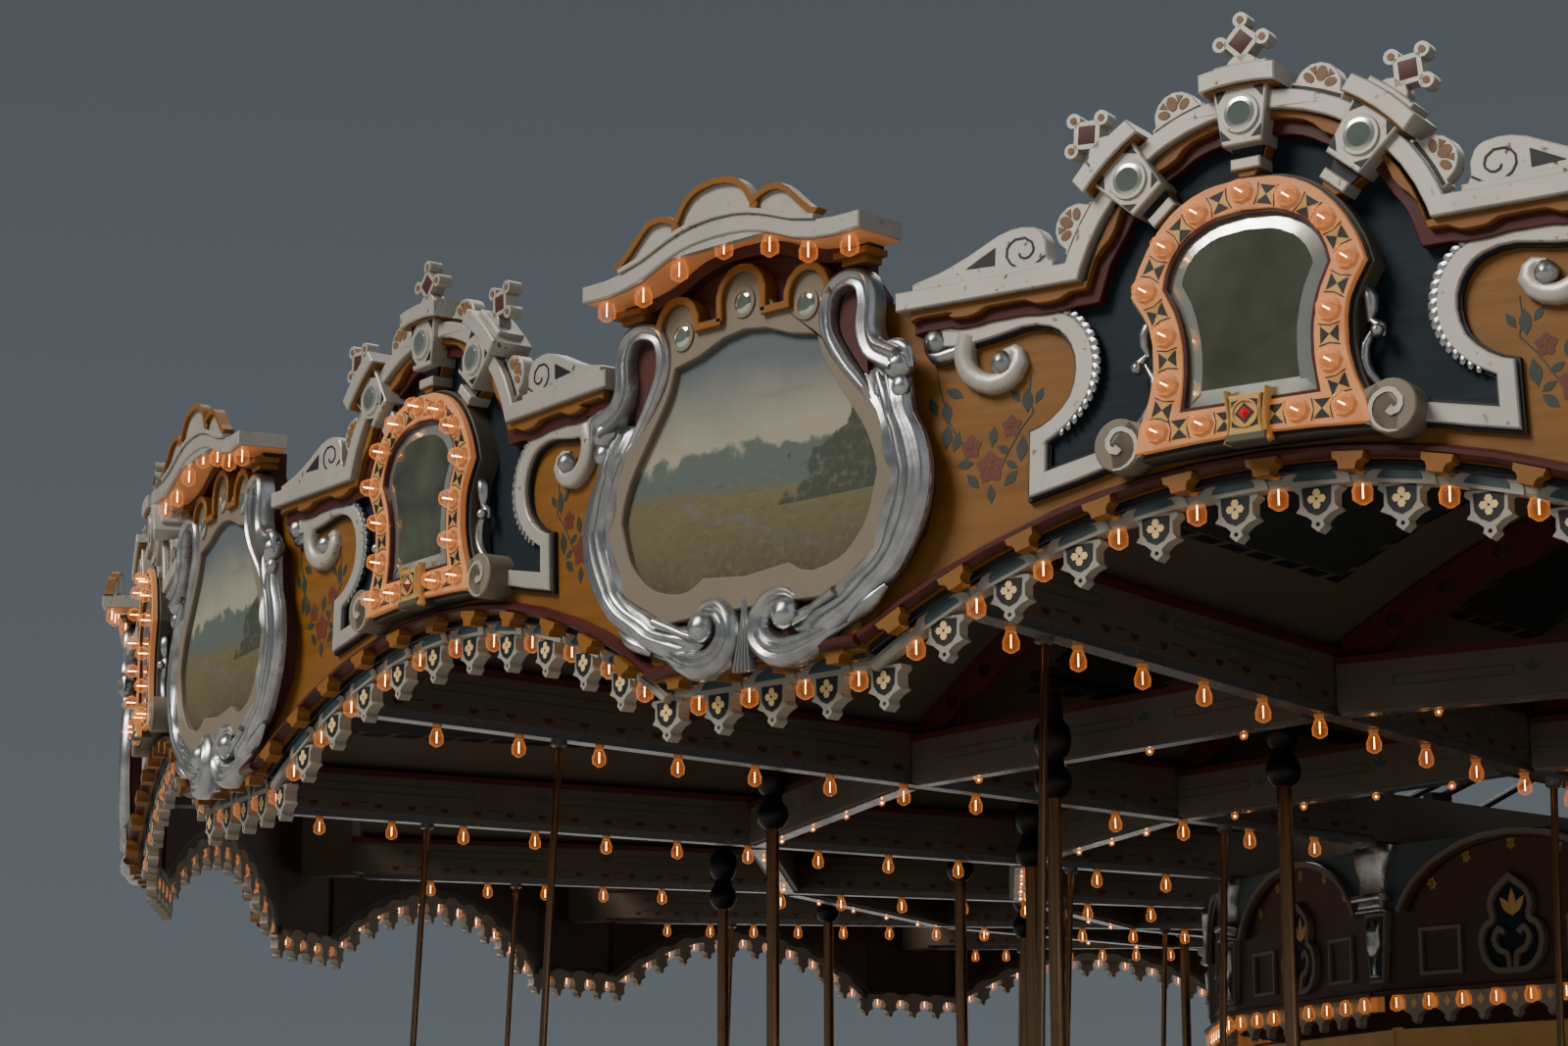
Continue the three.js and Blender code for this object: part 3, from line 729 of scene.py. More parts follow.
def bay_board():
    hump = arc(0, HUMP_Z, 426, 20.6, 159.4, 28)
    low = bow(BOARD_APEX, BOARD_R, BAY_HALF)
    outline = np.vstack([low, [(BAY_HALF, 3600), (399, 3600)], hump, [(-399, 3600), (-BAY_HALF, 3600)]])
    OCHRE.put(flat([outline], BAY - 50, BAY))
    BACKS.put(flat([outline], BAY - 56, BAY - 49))
    NAVY.put(plate(np.vstack([NAVY_EDGE, arc(0, HUMP_Z, 412, 17, 90, 14)]), BAY - 1, BAY + 4))
    MAROON.put(sweep(bow(3156, 1800, BAY_HALF + 4, 36), half_round(15, BAY - 2, 2.0, 5)))
    # A black strip set back in the gap under the board's lower edge: painted shadow in that gap.
    BLACK.put(sweep(bow(3131, 1790, BAY_HALF, 30), rect(9, BAY - 40, BAY - 12)))
    MAROON.put(sweep([(-314, 2886), (314, 2886)], half_round(15, FACET - 2, 1.8, 5)), FACETS)


def cornice_edge():
    """The lower edge of the silver cornice, from left to right."""
    corner = math.degrees(math.asin((BAR_Z[0] - HUMP_Z) / ARCH[0]))
    inner = arc(0, HUMP_Z, ARCH[0], 180 - corner, corner, 40)
    left = np.stack([np.linspace(-BAR_END, inner[0][0], 34)[:-1], np.full(33, float(BAR_Z[0]))], 1)
    return np.vstack([left, inner, (left * [-1, 1])[::-1]])


def wave(edge, pitch):
    """Flat stretches with a swell between them, the same on both sides of the middle."""
    far = lengths(edge)
    far -= far[-1] / 2
    return np.tanh(2.4 * (np.cos(2 * np.pi * np.abs(far) / pitch) - 0.35))


def cornice():
    edge = cornice_edge()
    step = math.degrees(math.asin((BAR_Z[1] - HUMP_Z) / ARCH[1]))
    outer = arc(0, HUMP_Z, ARCH[1], step, 180 - step, 40)
    outline = np.vstack([edge, [(BAR_END, BAR_Z[1])], outer, [(-BAR_END, BAR_Z[1])]])
    SILVER.put(flat([outline], BAY - 20, CORNICE_D, 3))
    SILVER.put(pair(block(440, 776, BAR_Z[1], BAR_Z[1] + 15, BAY - 10, BAY + 52, 2)))
    side = normals(edge, False)
    for piece, drop, swell, out in ((MOULD, 24, 8, BAY + 47), (MAROON, 48, 3, BAY + 30)):
        low = edge - side * (drop + swell * wave(edge, 196))[:, None]
        low[:, 0] *= 0.965 ** (np.abs(low[:, 0]) > 700)
        piece.put(flat([np.vstack([low, edge[::-1] * [0.965, 1]])], BAY, out, 2))


def arch_slab(half, low, high, d0, d1, chamfer=3):
    top = arc(0, 0, high, 90 - math.degrees(half / high), 90 + math.degrees(half / high), 8)
    base = arc(0, 0, low, 90 + math.degrees(half / low), 90 - math.degrees(half / low), 8)
    return flat([np.vstack([top, base])], d0, d1, chamfer)


LENS_LIFT = 387
FINIAL_LIFT = 540


def keystones():
    mirror_rings = ((SILVER, [(42, 0), (40, -5), (36, -5)]), (BEVELS, [(36.5, -4), (25, -7.5)]),
                    (LENSES, [(25, -6), (25, -8)]))
    plates = ((SILVER, [(43, 325), (60, 446)], BAY, SPOKE_D, 3),
              (MOULD, [(29, 299), (38, 326)], BAY, BAY + 38, 2),
              # A black plate over the front of the ochre neck: painted shade on the recessed neck.
              (BLACK, [(26, 298), (35, 326)], BAY + 36, BAY + 46, 0),
              (SILVER, [(32, 277), (32, 300)], BAY, BAY + 63, 3),
              (MOULD, [(16, 262), (26, 278)], BAY, BAY + 54, 2))
    slabs = ((MOULD, 76, 441, 447, BAY, BAY + 86), (SILVER, 83, 446, 484, BAY - 16, BAY + 94),
             (SILVER, 58, 483, 496, BAY, BAY + 72))
    for tilt in SPOKES:
        key = spoke(tilt)
        for piece, *shape in plates:
            piece.put(key(plate(*shape)))
        for piece, *shape in slabs:
            piece.put(key(arch_slab(*shape)))
        for piece, ring in mirror_rings:
            piece.put(key(move(face_out(lathe(ring, 22)), z=LENS_LIFT, d=SPOKE_D)))
        for corner in ([(52, 438), (30, 438), (49, 414)], [(42, 336), (22, 336), (45, 360)]):
            BLACK.put(key(pair(flat([corner], SPOKE_D - 2, SPOKE_D + INLAY))))
        finial(key)


def finial(key):
    back, face = BAY + 28, BAY + 64
    FINIALS.put(key(plate([(34, 494), (28, 504), (14, 514)], back, face, 2)))
    star = [(0, -42), (30, -12), (40, 0), (30, 12), (12, 30), (0, 40)]
    FINIALS.put(key(move(plate(star, back, face), z=FINIAL_LIFT)))
    for x, z in ((0, 46), (46, 2), (-46, 2)):
        FINIALS.put(key(flat([arc(x, FINIAL_LIFT + z, 16, 0, 330, 11)], back, face)))
        BROWN.put(key(flat([arc(x, FINIAL_LIFT + z, 8, 0, 308, 6)], face - 1, face + PAINT)))
    MAROON_WOOD.put(key(gem(33, FINIAL_LIFT, face - 1, 6)))


def gem(half, z, d, tall):
    co = np.array([(0, z - half, d), (half, z, d), (0, z + half, d), (-half, z, d), (0, z, d + tall)])
    return outward(co, [[0, 1, 4], [1, 2, 4], [2, 3, 4], [3, 0, 4], [3, 2, 1, 0]])


CREST_TOP = [(776, 3612), (772, 3622), (715, 3634), (651, 3656), (611, 3674), (578, 3689), (541, 3699),
             (499, 3699), (471, 3687), (458, 3661), (458, 3632), (446, 3610)]
CREST_SPIRAL = [(197, 54), (225, 42), (262, 35), (305, 34), (345, 38), (380, 39), (420, 34), (460, 30),
                (500, 28), (540, 25), (580, 19), (625, 14), (670, 11), (710, 9)]
CREST_EYE = (512, 3646)
CREST_D = BAY + 47


def crests():
    """Fan crests between the keystones and scroll crests on the cornice bars."""
    for tilt in (-59.5, -20.1, 20.1, 59.5):
        fan_crest(spoke(tilt))
    SCROLLS.put(pair(flat([curve(CREST_TOP, 5)], CREST_D - 40, CREST_D, 3)))
    spiral = curve([polar(CREST_EYE, radius, angle) for angle, radius in CREST_SPIRAL], 4)
    BLACK.put(pair(sweep(spiral, ribbon(2.3, CREST_D - 1, CREST_D + PAINT))))
    BLACK.put(pair(flat([[(579, 3628), (648, 3631), (577, 3666)]], CREST_D - 1, CREST_D + PAINT)))


def fan_crest(key):
    dome = np.vstack([[(60, 430), (59, 446), (51, 448)], arc(0, 448, 50, 0, 90, 8)[1:]])
    FINIALS.put(key(plate(dome, CREST_D - 36, CREST_D, 2)))
    BLACK.put(key(arch_slab(55, 437, 445, CREST_D - 2, CREST_D + PAINT, 0)))
    BROWN.put(key(flat([arc(0, 475, 12, 0, 330, 11, 1.35)], CREST_D - 1, CREST_D + PAINT)))
    drop = arc(0, 27, 9, 0, 330, 11, 1.5)
    wedge = [(-8, 40), (8, 40), (0, 22)]
    for cutout, lean in ((drop, 64), (wedge, 33)):
        for side in (1, -1):
            part = turn(flat([cutout], CREST_D - 1, CREST_D + PAINT), lean * side)
            BROWN.put(key(move(part, z=450)))


ROPE_PITCH = 19
ROPE_SLANT = -42
SCROLL_EDGE = [(338, 3215), (483, 3186), (481, 3248), (456, 3261), (421, 3285), (387, 3325), (369, 3371),
               (368, 3416), (382, 3460), (413, 3497), (462, 3524), (505, 3532), (600, 3530), (690, 3524),
               (735, 3522)]
SCROLL_BACK = [(735, 3484), (690, 3478), (640, 3480), (574, 3489), (532, 3497), (486, 3494), (445, 3476),
               (418, 3441), (409, 3407), (411, 3371), (424, 3334), (451, 3305), (486, 3282), (518, 3272),
               (523, 3137), (415, 3159), (328, 3180)]


def scroll_frames():
    """The silver C-scroll frames with their roped backs and leaf balls."""
    edge = np.vstack([SCROLL_EDGE[:3], curve(SCROLL_EDGE[2:], 4)[1:]])
    back = np.vstack([curve(SCROLL_BACK[:14], 4), SCROLL_BACK[14:]])
    outline = np.vstack([edge, back])
    BLACK.put(pair(flat([inset(outline, -7)], BAY, BAY + 12)))
    SCROLLS.put(pair(flat([outline], BAY, SCROLL_D, 3)))
    hook = curve([(664, 3500), (676, 3462), (660, 3414), (616, 3389), (570, 3396), (546, 3426), (556, 3452),
                  (584, 3452)], 6)
    wide = np.interp(np.arange(len(hook)), [0, 18, 30, len(hook) - 1], [1.1, 1.0, 0.85, 0.4])
    dome = [(21, BAY), (21, SCROLL_D - 8), (15, SCROLL_D), (0, SCROLL_D + 5), (-15, SCROLL_D),
            (-21, SCROLL_D - 8), (-21, BAY)]
    SCROLLS.put(pair(sweep(hook, dome, wide)))
    CURLS.put(pair(ball(27, 584, 3429, SCROLL_D - 12, 0.95)))
    CURLS.put(pair(ball(31, 742, 3496, SCROLL_D - 14, 0.95)))
    CURLS.put(pair(leaf_lobe([(768, 3484), (742, 3464), (706, 3466), (664, 3484)], 17, BAY + 8)))
    CURLS.put(pair(leaf_lobe([(752, 3520), (718, 3520), (680, 3512), (640, 3508)], 12, BAY + 14)))
    path = curve(SCROLL_EDGE[3:12], 10)
    away = path - (540, 3400)
    rope(path + 4 * away / np.linalg.norm(away, axis=1)[:, None])


def leaf_lobe(points, half, d, tall=1.1):
    path = curve(points, 5)
    t = np.linspace(0, 1, len(path))
    return sweep(path, half_round(half, d, tall, 5), np.sin(np.pi * (0.10 + 0.82 * t)) ** 0.8)


def rope(path):
    """Twisted cord along the edge: slanted beads, thickest in the middle."""
    beads = int(lengths(path)[-1] / ROPE_PITCH)
    for k in range(beads):
        at = (k + 0.5) * ROPE_PITCH
        (x, z), (x1, z1) = points_at(path, [at, at + 2])
        lean = math.degrees(math.atan2(z1 - z, x1 - x)) + ROPE_SLANT
        size = 0.5 + 0.5 * math.sin(math.pi * (k + 0.5) / beads)
        co, faces = ball(10 * size, squash=0.9, sides=6, rings=4)
        bead = move(turn((co * [1.7, 1.15, 1.0], faces), lean), x, z, SCROLL_D - 6)
        ROPES.put(pair(bead))


MIRROR_OUTER = both(runs(
    [(0, 3190), (130, 3186), (252, 3178)],
    ([(240, 3230), (222, 3270), (208, 3323), (205, 3377), (211, 3424), (227, 3460), (251, 3499)], 3),
    ([(237, 3544), (212, 3592), (180, 3634), (138, 3669), (78, 3694), (0, 3702)], 4)))
MIRROR_INNER = both(runs(
    [(0, 3250), (150, 3250)], ([(142, 3300), (139, 3350), (143, 3402), (157, 3455), (181, 3505)], 4),
    ([(170, 3547), (148, 3583), (112, 3613), (62, 3632), (0, 3638)], 4)))
BAND_LAMPS = [(0, 3674), (99, 3647), (172, 3590), (216, 3505), (176, 3408), (174, 3307), (200, 3217),
              (102, 3219)]
TIES = [(51, 3661), (137, 3620), (197, 3549), (193, 3457), (173, 3360), (188, 3260), (152, 3217), (54, 3219)]


def bay_mirror():
    OLIVE.put(flat([inset(MIRROR_OUTER, -10)], BAY, BAY + 56, 2))
    BLACK.put(flat([inset(MIRROR_OUTER, -5)], BAY + 50, BAY + 63))
    PEACH.put(flat([MIRROR_OUTER, MIRROR_INNER], BAY + 60, BAND_D, 2))
    MAROON.put(flat([MIRROR_INNER, inset(MIRROR_INNER, 7)], BAY + 60, BAND_D - 3))
    glass = inset(MIRROR_INNER[kept(MIRROR_INNER, FLAT_TOLERANCE)], 7)
    core = inset(glass, 31)
    size = len(glass)
    levels = [np.column_stack([loop, np.full(size, d)]) for loop, d in ((glass, BAY + 64), (core, BAY + 71))]
    faces = [[i, (i + 1) % size, size + (i + 1) % size, size + i] for i in range(size)]
    BEVELS.put((np.vstack(levels), faces))
    MIRRORS.put(flat([core], BAY + 60, BAY + 71))
    for x, z in BAND_LAMPS:
        face_lamp(x, z)
    for i, (x, z) in enumerate(TIES):
        (x0, z0), (x1, z1) = BAND_LAMPS[i], (BAND_LAMPS + [(0, 3219)])[i + 1]
        bow_tie(x, z, math.degrees(math.atan2(z1 - z0, x1 - x0)))
    bracket()
    volutes()


GLOBE = ball(23, sides=9, rings=5)
STREAK = face_out(lathe([(1.8, 12), (1.8, -16)], 4))
SEAT = face_out(lathe([(26, 0), (14, -1.4)], 8))


def face_lamp(x, z):
    """A bulb let into the band, with only its globe outside."""
    for at in mirrored((x,)):
        for piece, part, out in ((BULBS, GLOBE, 18), (FILAMENTS, STREAK, 16), (SOCKETS, SEAT, 0)):
            piece.put(move(part, at, z, BAND_D + out))


def bow_tie(x, z, lean):
    """Two black wedges, two gold ones and a thin black line at each end."""
    low, high = BAND_D - 2, BAND_D + INLAY
    black_part = join(flat([[(-17, 19), (0, 0), (17, 19)]], low, high),
                      flat([[(-17, -19), (17, -19), (0, 0)]], low, high))
    gold_part = join(flat([[(-18, -16), (0, 0), (-18, 16)]], low, BAND_D + 0.9),
                     flat([[(18, -16), (18, 16), (0, 0)]], low, BAND_D + 0.9))
    for side in (-1, 1):
        edge = [(22 * side, -22), (17 * side, 0), (22 * side, 22)]
        black_part = join(black_part, sweep(edge, ribbon(1.1, low, high)))
    for piece, part in ((BLACK, black_part), (GOLD, gold_part)):
        piece.put(pair(move(turn(part, lean), x, z)))


def bracket():
    """The jewelled clasp in the middle of the band's foot."""
    face = BAND_D + 22
    middle = 3224
    GOLD.put(plate([(38, 3182), (32, 3206), (33, 3252), (36, 3262)], BAND_D - 4, face, 3))
    rings = [arc(0, middle, radius, 0, 352.5, 47) for radius in (29, 24)]
    GOLD.put(flat(rings, face - 1, face + 3, 1))
    for side in (-1, 1):
        corner = [(28, middle + 25 * side), (10, middle + 28 * side), (27, middle + 9 * side)]
        BLACK.put(pair(flat([corner], face - 1, face + 1)))
    BLACK.put(plate([(0, middle - 21), (21, middle), (0, middle + 21)], face - 1, face + 1))
    JEWELS.put(gem(16, middle, face, 9))
    OLIVE.put(block(-44, 44, 3168, 3186, BAY + 50, face + 2, 3))
    edge = curve([(46, 3168), (37, 3196), (37, 3236), (44, 3274)], 4)
    GOLD.put(pair(sweep(edge, half_round(6, BAND_D, 3.4))))


VOLUTE = (289, 3204)


def volutes():
    """The discs with a spiral at the band's feet, and the leaves above them."""
    face = BAND_D - 3
    disc = face_out(lathe([(54, 0), (54, -(face - BAY - 3)), (51, -(face - BAY))], 26))
    TAUPE.put(pair(move(disc, *VOLUTE, BAY)))
    TAUPE.put(pair(flat([[(236, 3176), (300, 3152), (306, 3204), (262, 3250), (232, 3240)]], BAY + 32, face)))
    t = np.linspace(0, 1, 40)
    spiral = np.array([polar(VOLUTE, 45 * (1 - share) ** 0.85 + 6, -75 - 400 * share) for share in t])
    grow = np.interp(t, [0, 0.25, 0.75, 1], [0.3, 0.85, 1.1, 1.9])
    SCROLLS.put(pair(sweep(spiral, ribbon(5, face, face + 2.4), grow)))
    for points, half in (([(214, 3464), (238, 3440), (243, 3412), (236, 3384)], 15),
                         ([(236, 3392), (252, 3376), (262, 3368), (266, 3352)], 11),
                         ([(246, 3372), (226, 3340), (226, 3296), (252, 3258), (284, 3236)], 11)):
        CURLS.put(pair(leaf_lobe(points, half, BAY + 32, 1.3)))
    CURLS.put(pair(ball(14, 257, 3362, BAY + 46)))


def petal_leaf(x, z, lean, long, wide):
    t = np.linspace(0, 1, 7)
    right = np.stack([wide * np.sin(np.pi * t) ** 1.1, long * (t - 0.5)], 1)
    outline = np.vstack([right, (right * [-1, 1])[::-1][1:-1]])
    return move(turn(flat([outline], BAY - 0.4, BAY + 0.9), lean), x, z)


SPRAYS = [(706, 3384, -62, 46), (758, 3362, 160, 44), (726, 3346, -5, 52), (727, 3294, 8, 54),
          (704, 3280, 20, 44), (616, 3280, 10, 44), (592, 3250, -60, 34), (574, 3216, -60, 34),
          (684, 3230, 88, 42), (666, 3192, 140, 44), (576, 3188, 48, 44), (624, 3160, 0, 40),
          (549, 3246, 8, 56), (534, 3346, 2, 54), (561, 3358, -38, 34), (506, 3352, 32, 36)]
STEMS = ([(750, 3462), (744, 3405), (722, 3328), (692, 3278), (664, 3258)],
         [(525, 3398), (530, 3350), (522, 3318), (552, 3286), (590, 3230), (612, 3214)])
FLOWERS = ((669, 3264, 24), (624, 3216, 33), (572, 3296, 23))


def stencils():
    """Painted sprays on the ochre, each side of the mirror."""
    for x, z, lean, long in SPRAYS:
        LEAVES.put(pair(petal_leaf(x, z, lean, long, long * 0.24)))
    for points in STEMS:
        LEAVES.put(pair(sweep(curve(points, 5), ribbon(1.6, BAY - 0.4, BAY + 0.8))))
    for x, z, radius in FLOWERS:
        for k in range(5):
            at = polar((x, z), 0.62 * radius, 90 + 72 * k)
            PETALS.put(pair(petal_leaf(*at, 72 * k, radius * 0.95, radius * 0.42)))
        PETALS.put(pair(flat([arc(x, z, radius * 0.16, 0, 315, 7)], BAY - 0.4, BAY + 1.0)))


PENDANT = [(46, 0), (49, -9), (37, -19), (37, -43), (45, -53), (25, -61), (11, -73), (14, -83), (0, -95)]
FIELD = [(31, -6), (29, -40), (18, -55), (0, -63)]


def pendant(x, z, d, angles):
    hole = arc(0, -80, 5, 0, 300, 5)
    parts = [(PENDANTS, flat([both(PENDANT[::-1]), hole], d - 34, d)),
             (BLACK, plate(FIELD[::-1], d - 1, d + 1)),
             (CREAM, flat([arc(0, -30, 8, 0, 270, 3)], d, d + 2.2)),
             (BLACK, flat([arc(0, -30, 4, 0, 240, 2)], d, d + 3.2))]
    for side_x, side_z in ((1, 0), (0, 1), (-1, 0), (0, -1)):
        petal = arc(11 * side_x, 12 * side_z - 30, 8.5, 0, 300, 5)
        parts.append((CREAM, flat([petal], d, d + 2.4)))
    for piece, part in parts:
        piece.put(move(part, x, z), angles)


def corbel(x, z, d, angles, lean=0.0):
    half = [(17, 12), (18, 22), (22, 29), (31, 33), (33, 47)]
    MOULD.put(move(turn(plate(half, d, d + 38), lean), x, z), angles)


def half_moon(x, z, d, angles, lean=0.0):
    outer = np.vstack([arc(0, 0, 74, 0, 180, 16, 0.50), [(-74, -4), (74, -4)]])
    inner = np.vstack([arc(0, 0, 46, 0, 180, 14, 0.52), [(-46, -1), (46, -1)]])
    GREY.put(move(turn(flat([outer], d - 30, d + 14), lean), x, z), angles)
    TEAL.put(move(turn(flat([inner], d + 12, d + 16), lean), x, z + 5), angles)


STRIP_PROFILE = [(-2, -26), (-2, 5), (4, 10), (14, 10), (16, 4), (20, 4), (22, 8), (24, 4), (24, -26)]
COVE = [(20, -24), (20, -6), (44, 4), (62, 4), (62, -24)]


def strip_at(path, d, angles, cove_width=1.0):
    """The grey lamp strip and the dark cove above it."""
    GREY.put(sweep(path, [(a, d + b) for a, b in STRIP_PROFILE]), angles)
    OLIVE.put(sweep(path, [(a * cove_width, d + b) for a, b in COVE]), angles)


def valance():
    strip_at(bow(STRIP_APEX, STRIP_R, 928, 30), BAY_STRIP_D, BAYS)
    for x in mirrored(BULB_X):
        lamp(x, strip_z(x) - 22, BAY_STRIP_D - 6, BAYS)
        corbel(x, strip_z(x), BAY, BAYS, strip_lean(x))
    for x in mirrored(PENDANT_X):
        pendant(x, strip_z(x) - 1, BAY_STRIP_D + 8, BAYS)
        half_moon(x, strip_z(x), BAY_STRIP_D, BAYS, strip_lean(x))
    strip_at([(-316, FACET_STRIP_Z), (316, FACET_STRIP_Z)], FACET_STRIP_D, FACETS, 0.6)
    for x in mirrored((84, 239)):
        lamp(x, FACET_STRIP_Z - 22, FACET_STRIP_D - 8, FACETS)
        corbel(x, FACET_STRIP_Z - 6, FACET_STRIP_D + 36, FACETS)
    for x in mirrored((0, 162, 325)):
        pendant(x, FACET_STRIP_Z - 1, FACET_STRIP_D + 8, FACETS)
    for x in mirrored((0, 162)):
        half_moon(x, FACET_STRIP_Z, FACET_STRIP_D, FACETS)


# Shields
TAUPE_D = FACET + 25
CROWN_D = FACET + 117
PICTURE_HALF = runs(
    [(0, 3061), (60, 3066), (128, 3073)],
    ([(170, 3051), (222, 3049), (292, 3071), (352, 3132), (378, 3210), (384, 3245), (360, 3315), (320, 3378),
      (278, 3436), (236, 3500), (216, 3559)], 4),
    ([(140, 3574), (66, 3601), (0, 3610)], 4))
BODY_INNER = [(318, 3444), (352, 3402), (392, 3336), (411, 3287), (419, 3240), (413, 3180), (396, 3115),
              (352, 3053), (294, 3010), (236, 2985), (176, 2966), (120, 2940)]
BODY_OUTER = [(458, 3480), (470, 3398), (476, 3348), (502, 3300), (519, 3245), (520, 3190), (506, 3130),
              (478, 3078), (436, 3020), (388, 2985), (332, 2946), (274, 2916), (206, 2880)]
ROWS_ALONG = 54
ROWS_ACROSS = 16


def stretch(points, count):
    path = curve(points, 12)
    return points_at(path, np.linspace(0, lengths(path)[-1], count))


def shield_relief():
    """The carved body: a rib along its inner edge, a hollow, flutes outside and leaf tips on the rib."""
    inner = stretch(BODY_INNER, ROWS_ALONG)
    outer = stretch(BODY_OUTER, ROWS_ALONG)
    u = np.linspace(0, 1, ROWS_ALONG)[:, None]
    v = np.linspace(0, 1, ROWS_ACROSS)[None, :]
    leaf_at = np.mod(u * 4.6 + 0.35, 1.0)
    tips = np.sin(np.pi * leaf_at ** 1.8) * np.clip(u * 4, 0, 1)
    inner = inner - (outer - inner) * 0.13 * tips
    co = inner[:, None] * (1 - v[..., None]) + outer[:, None] * v[..., None]
    dome = 22 * np.sin(np.pi * np.clip(v * 0.96 + 0.02, 0, 1)) ** 0.6
    rib = 10 * np.exp(-((v - 0.13) / 0.09) ** 2)
    flutes = 9 * np.abs(np.sin(np.pi * np.clip((v - 0.30) / 0.70, 0, 1) * 3)) ** 0.45
    leaf = 12 * tips * np.exp(-((v - 0.10) / 0.12) ** 2)
    edge = np.clip(np.minimum(v / 0.05, (1 - v) / 0.05), 0, 1) ** 0.5
    ends = np.clip(np.minimum(u / 0.14, (1 - u) / 0.10), 0, 1) ** 0.7
    depth = FACET + 6 + (dome + rib + flutes + leaf) * edge * (0.15 + 0.85 * ends)
    points = np.dstack([co, depth]).reshape(-1, 3)
    starts = [i * ROWS_ACROSS + j for i in range(ROWS_ALONG - 1) for j in range(ROWS_ACROSS - 1)]
    faces = [[k, k + ROWS_ACROSS, k + ROWS_ACROSS + 1, k + 1] for k in starts]
    return outward(points, faces), flat([np.vstack([inner, outer[::-1]])], FACET - 4, FACET + 10)


SHIELD_BACK = [(0, 2880), (110, 2880), (280, 2940), (400, 3010), (470, 3100), (490, 3200), (440, 3340),
               (430, 3450), (372, 3500), (372, 3620), (330, 3680), (330, 3742), (0, 3790)]
SHIELD_FOOT = [(0, 2868), (314, 2868), (314, 3400), (0, 3400)]
SHIELD_EDGE = [(0, 2990), (110, 2990), (240, 2985), (372, 3060), (430, 3130), (440, 3200), (420, 3300),
               (365, 3400), (306, 3460), (256, 3530), (244, 3640)]


def shield():
    MAROON_WOOD.put(plate(SHIELD_BACK, FACET - 50, FACET - 1), FACETS)
    OCHRE.put(plate(SHIELD_FOOT, FACET - 52, FACET - 2), FACETS)
    BACKS.put(plate(SHIELD_FOOT, FACET - 58, FACET - 51), FACETS)
    arches = np.vstack([SHIELD_EDGE, arc(196, 3648, 56, 0, 180, 10), [(116, 3640), (96, 3640)],
                        arc(0, 3680, 66, 0, 90, 8)])
    TAUPE.put(flat([both(arches), both(PICTURE_HALF)], FACET - 2, TAUPE_D, 3), FACETS)
    PICTURES.put(plate(PICTURE_HALF, FACET - 4, FACET + 9), FACETS)
    line = rect(9, FACET, FACET + 38, 2)
    side = np.vstack([[(258, 3640)], arc(198, 3652, 60, 0, 180, 14), [(138, 3638), (62, 3638)]])
    MOULD.put(pair(sweep(side, line)), FACETS)
    MOULD.put(sweep(np.vstack([[(-66, 3638)], arc(0, 3680, 68, 180, 0, 18), [(66, 3638)]]), line), FACETS)
    for piece, shape in ((LENSES, [(30, 0), (24, -6), (12, -8)]), (TAUPE, [(35, 0), (35, -4), (30, -4)])):
        ring = face_out(lathe(shape, 18))
        for x, z in ((0, 3671), (190, 3630), (-190, 3630)):
            piece.put(move(ring, x, z, TAUPE_D), FACETS)
    crown()
    crest()
    frame_carving()


CROWN_TOP = curve([(0, 3843), (75, 3838), (150, 3820), (230, 3792), (300, 3777), (360, 3771), (424, 3771)], 5)
CROWN_LOW = curve([(0, 3801), (75, 3797), (150, 3781), (230, 3751), (300, 3736), (360, 3732), (424, 3734)], 5)


def across(line, scale=1.0):
    """A line given from the middle outwards, drawn from left to right."""
    return both((line * [scale, 1])[::-1])[::-1]


def band_under(line, scale, tall):
    """The outline of a band that hangs under a line of the crown."""
    return np.vstack([across(line, scale), across(line - [0, tall], scale)[::-1]])


def crown():
    outline = np.vstack([across(CROWN_TOP), across(CROWN_LOW)[::-1]])
    SILVER.put(flat([outline], FACET - 20, CROWN_D, 3), FACETS)
    # An orange glowing band along the crown's underside: painted lamplight on the silver.
    SOFFIT.put(flat([band_under(CROWN_LOW, 0.98, 3)], FACET - 20, CROWN_D - 12, 2), FACETS)
    MAROON_WOOD.put(flat([band_under(CROWN_LOW, 0.88, 30)], FACET - 20, FACET + 28), FACETS)
    for x, z in ((0, 3778), (139, 3755), (253, 3719), (372, 3708)):
        for at in mirrored((x,)):
            lamp(at, z, FACET + 88, FACETS)
    MOULD.put(pair(block(296, 392, 3700, 3714, FACET - 10, FACET + 58, 3)), FACETS)
    MOULD.put(pair(block(304, 376, 3686, 3702, FACET - 10, FACET + 40, 3)), FACETS)


CREST = runs(
    [(0, 3770), (312, 3770), (316, 3798), (296, 3803)],
    ([(270, 3824), (236, 3856), (206, 3877), (172, 3882), (142, 3876), (120, 3865)], 4),
    ([(104, 3890), (76, 3916), (38, 3929), (0, 3933)], 4))
CREST_BACK = FACET + 94


def crest():
    outline = both(CREST)
    panel = inset(outline, 14)
    upper = outline[:, 1] > 3796
    MOULD.put(flat([np.vstack([outline[upper], panel[upper][::-1]])], CREST_BACK, FACET + 123), FACETS)
    SILVER.put(flat([inset(outline, 12)], CREST_BACK, FACET + 112), FACETS)
    notch = [(120, 3868), (108, 3850), (112, 3826), (128, 3826), (134, 3850)]
    MOULD.put(pair(flat([notch], CREST_BACK, FACET + 122, 2)), FACETS)
    line = CROWN_TOP[CROWN_TOP[:, 0] < 305]
    SILVER.put(sweep(across(line + [0, 5]), rect(6, CREST_BACK, FACET + 124, 2)), FACETS)


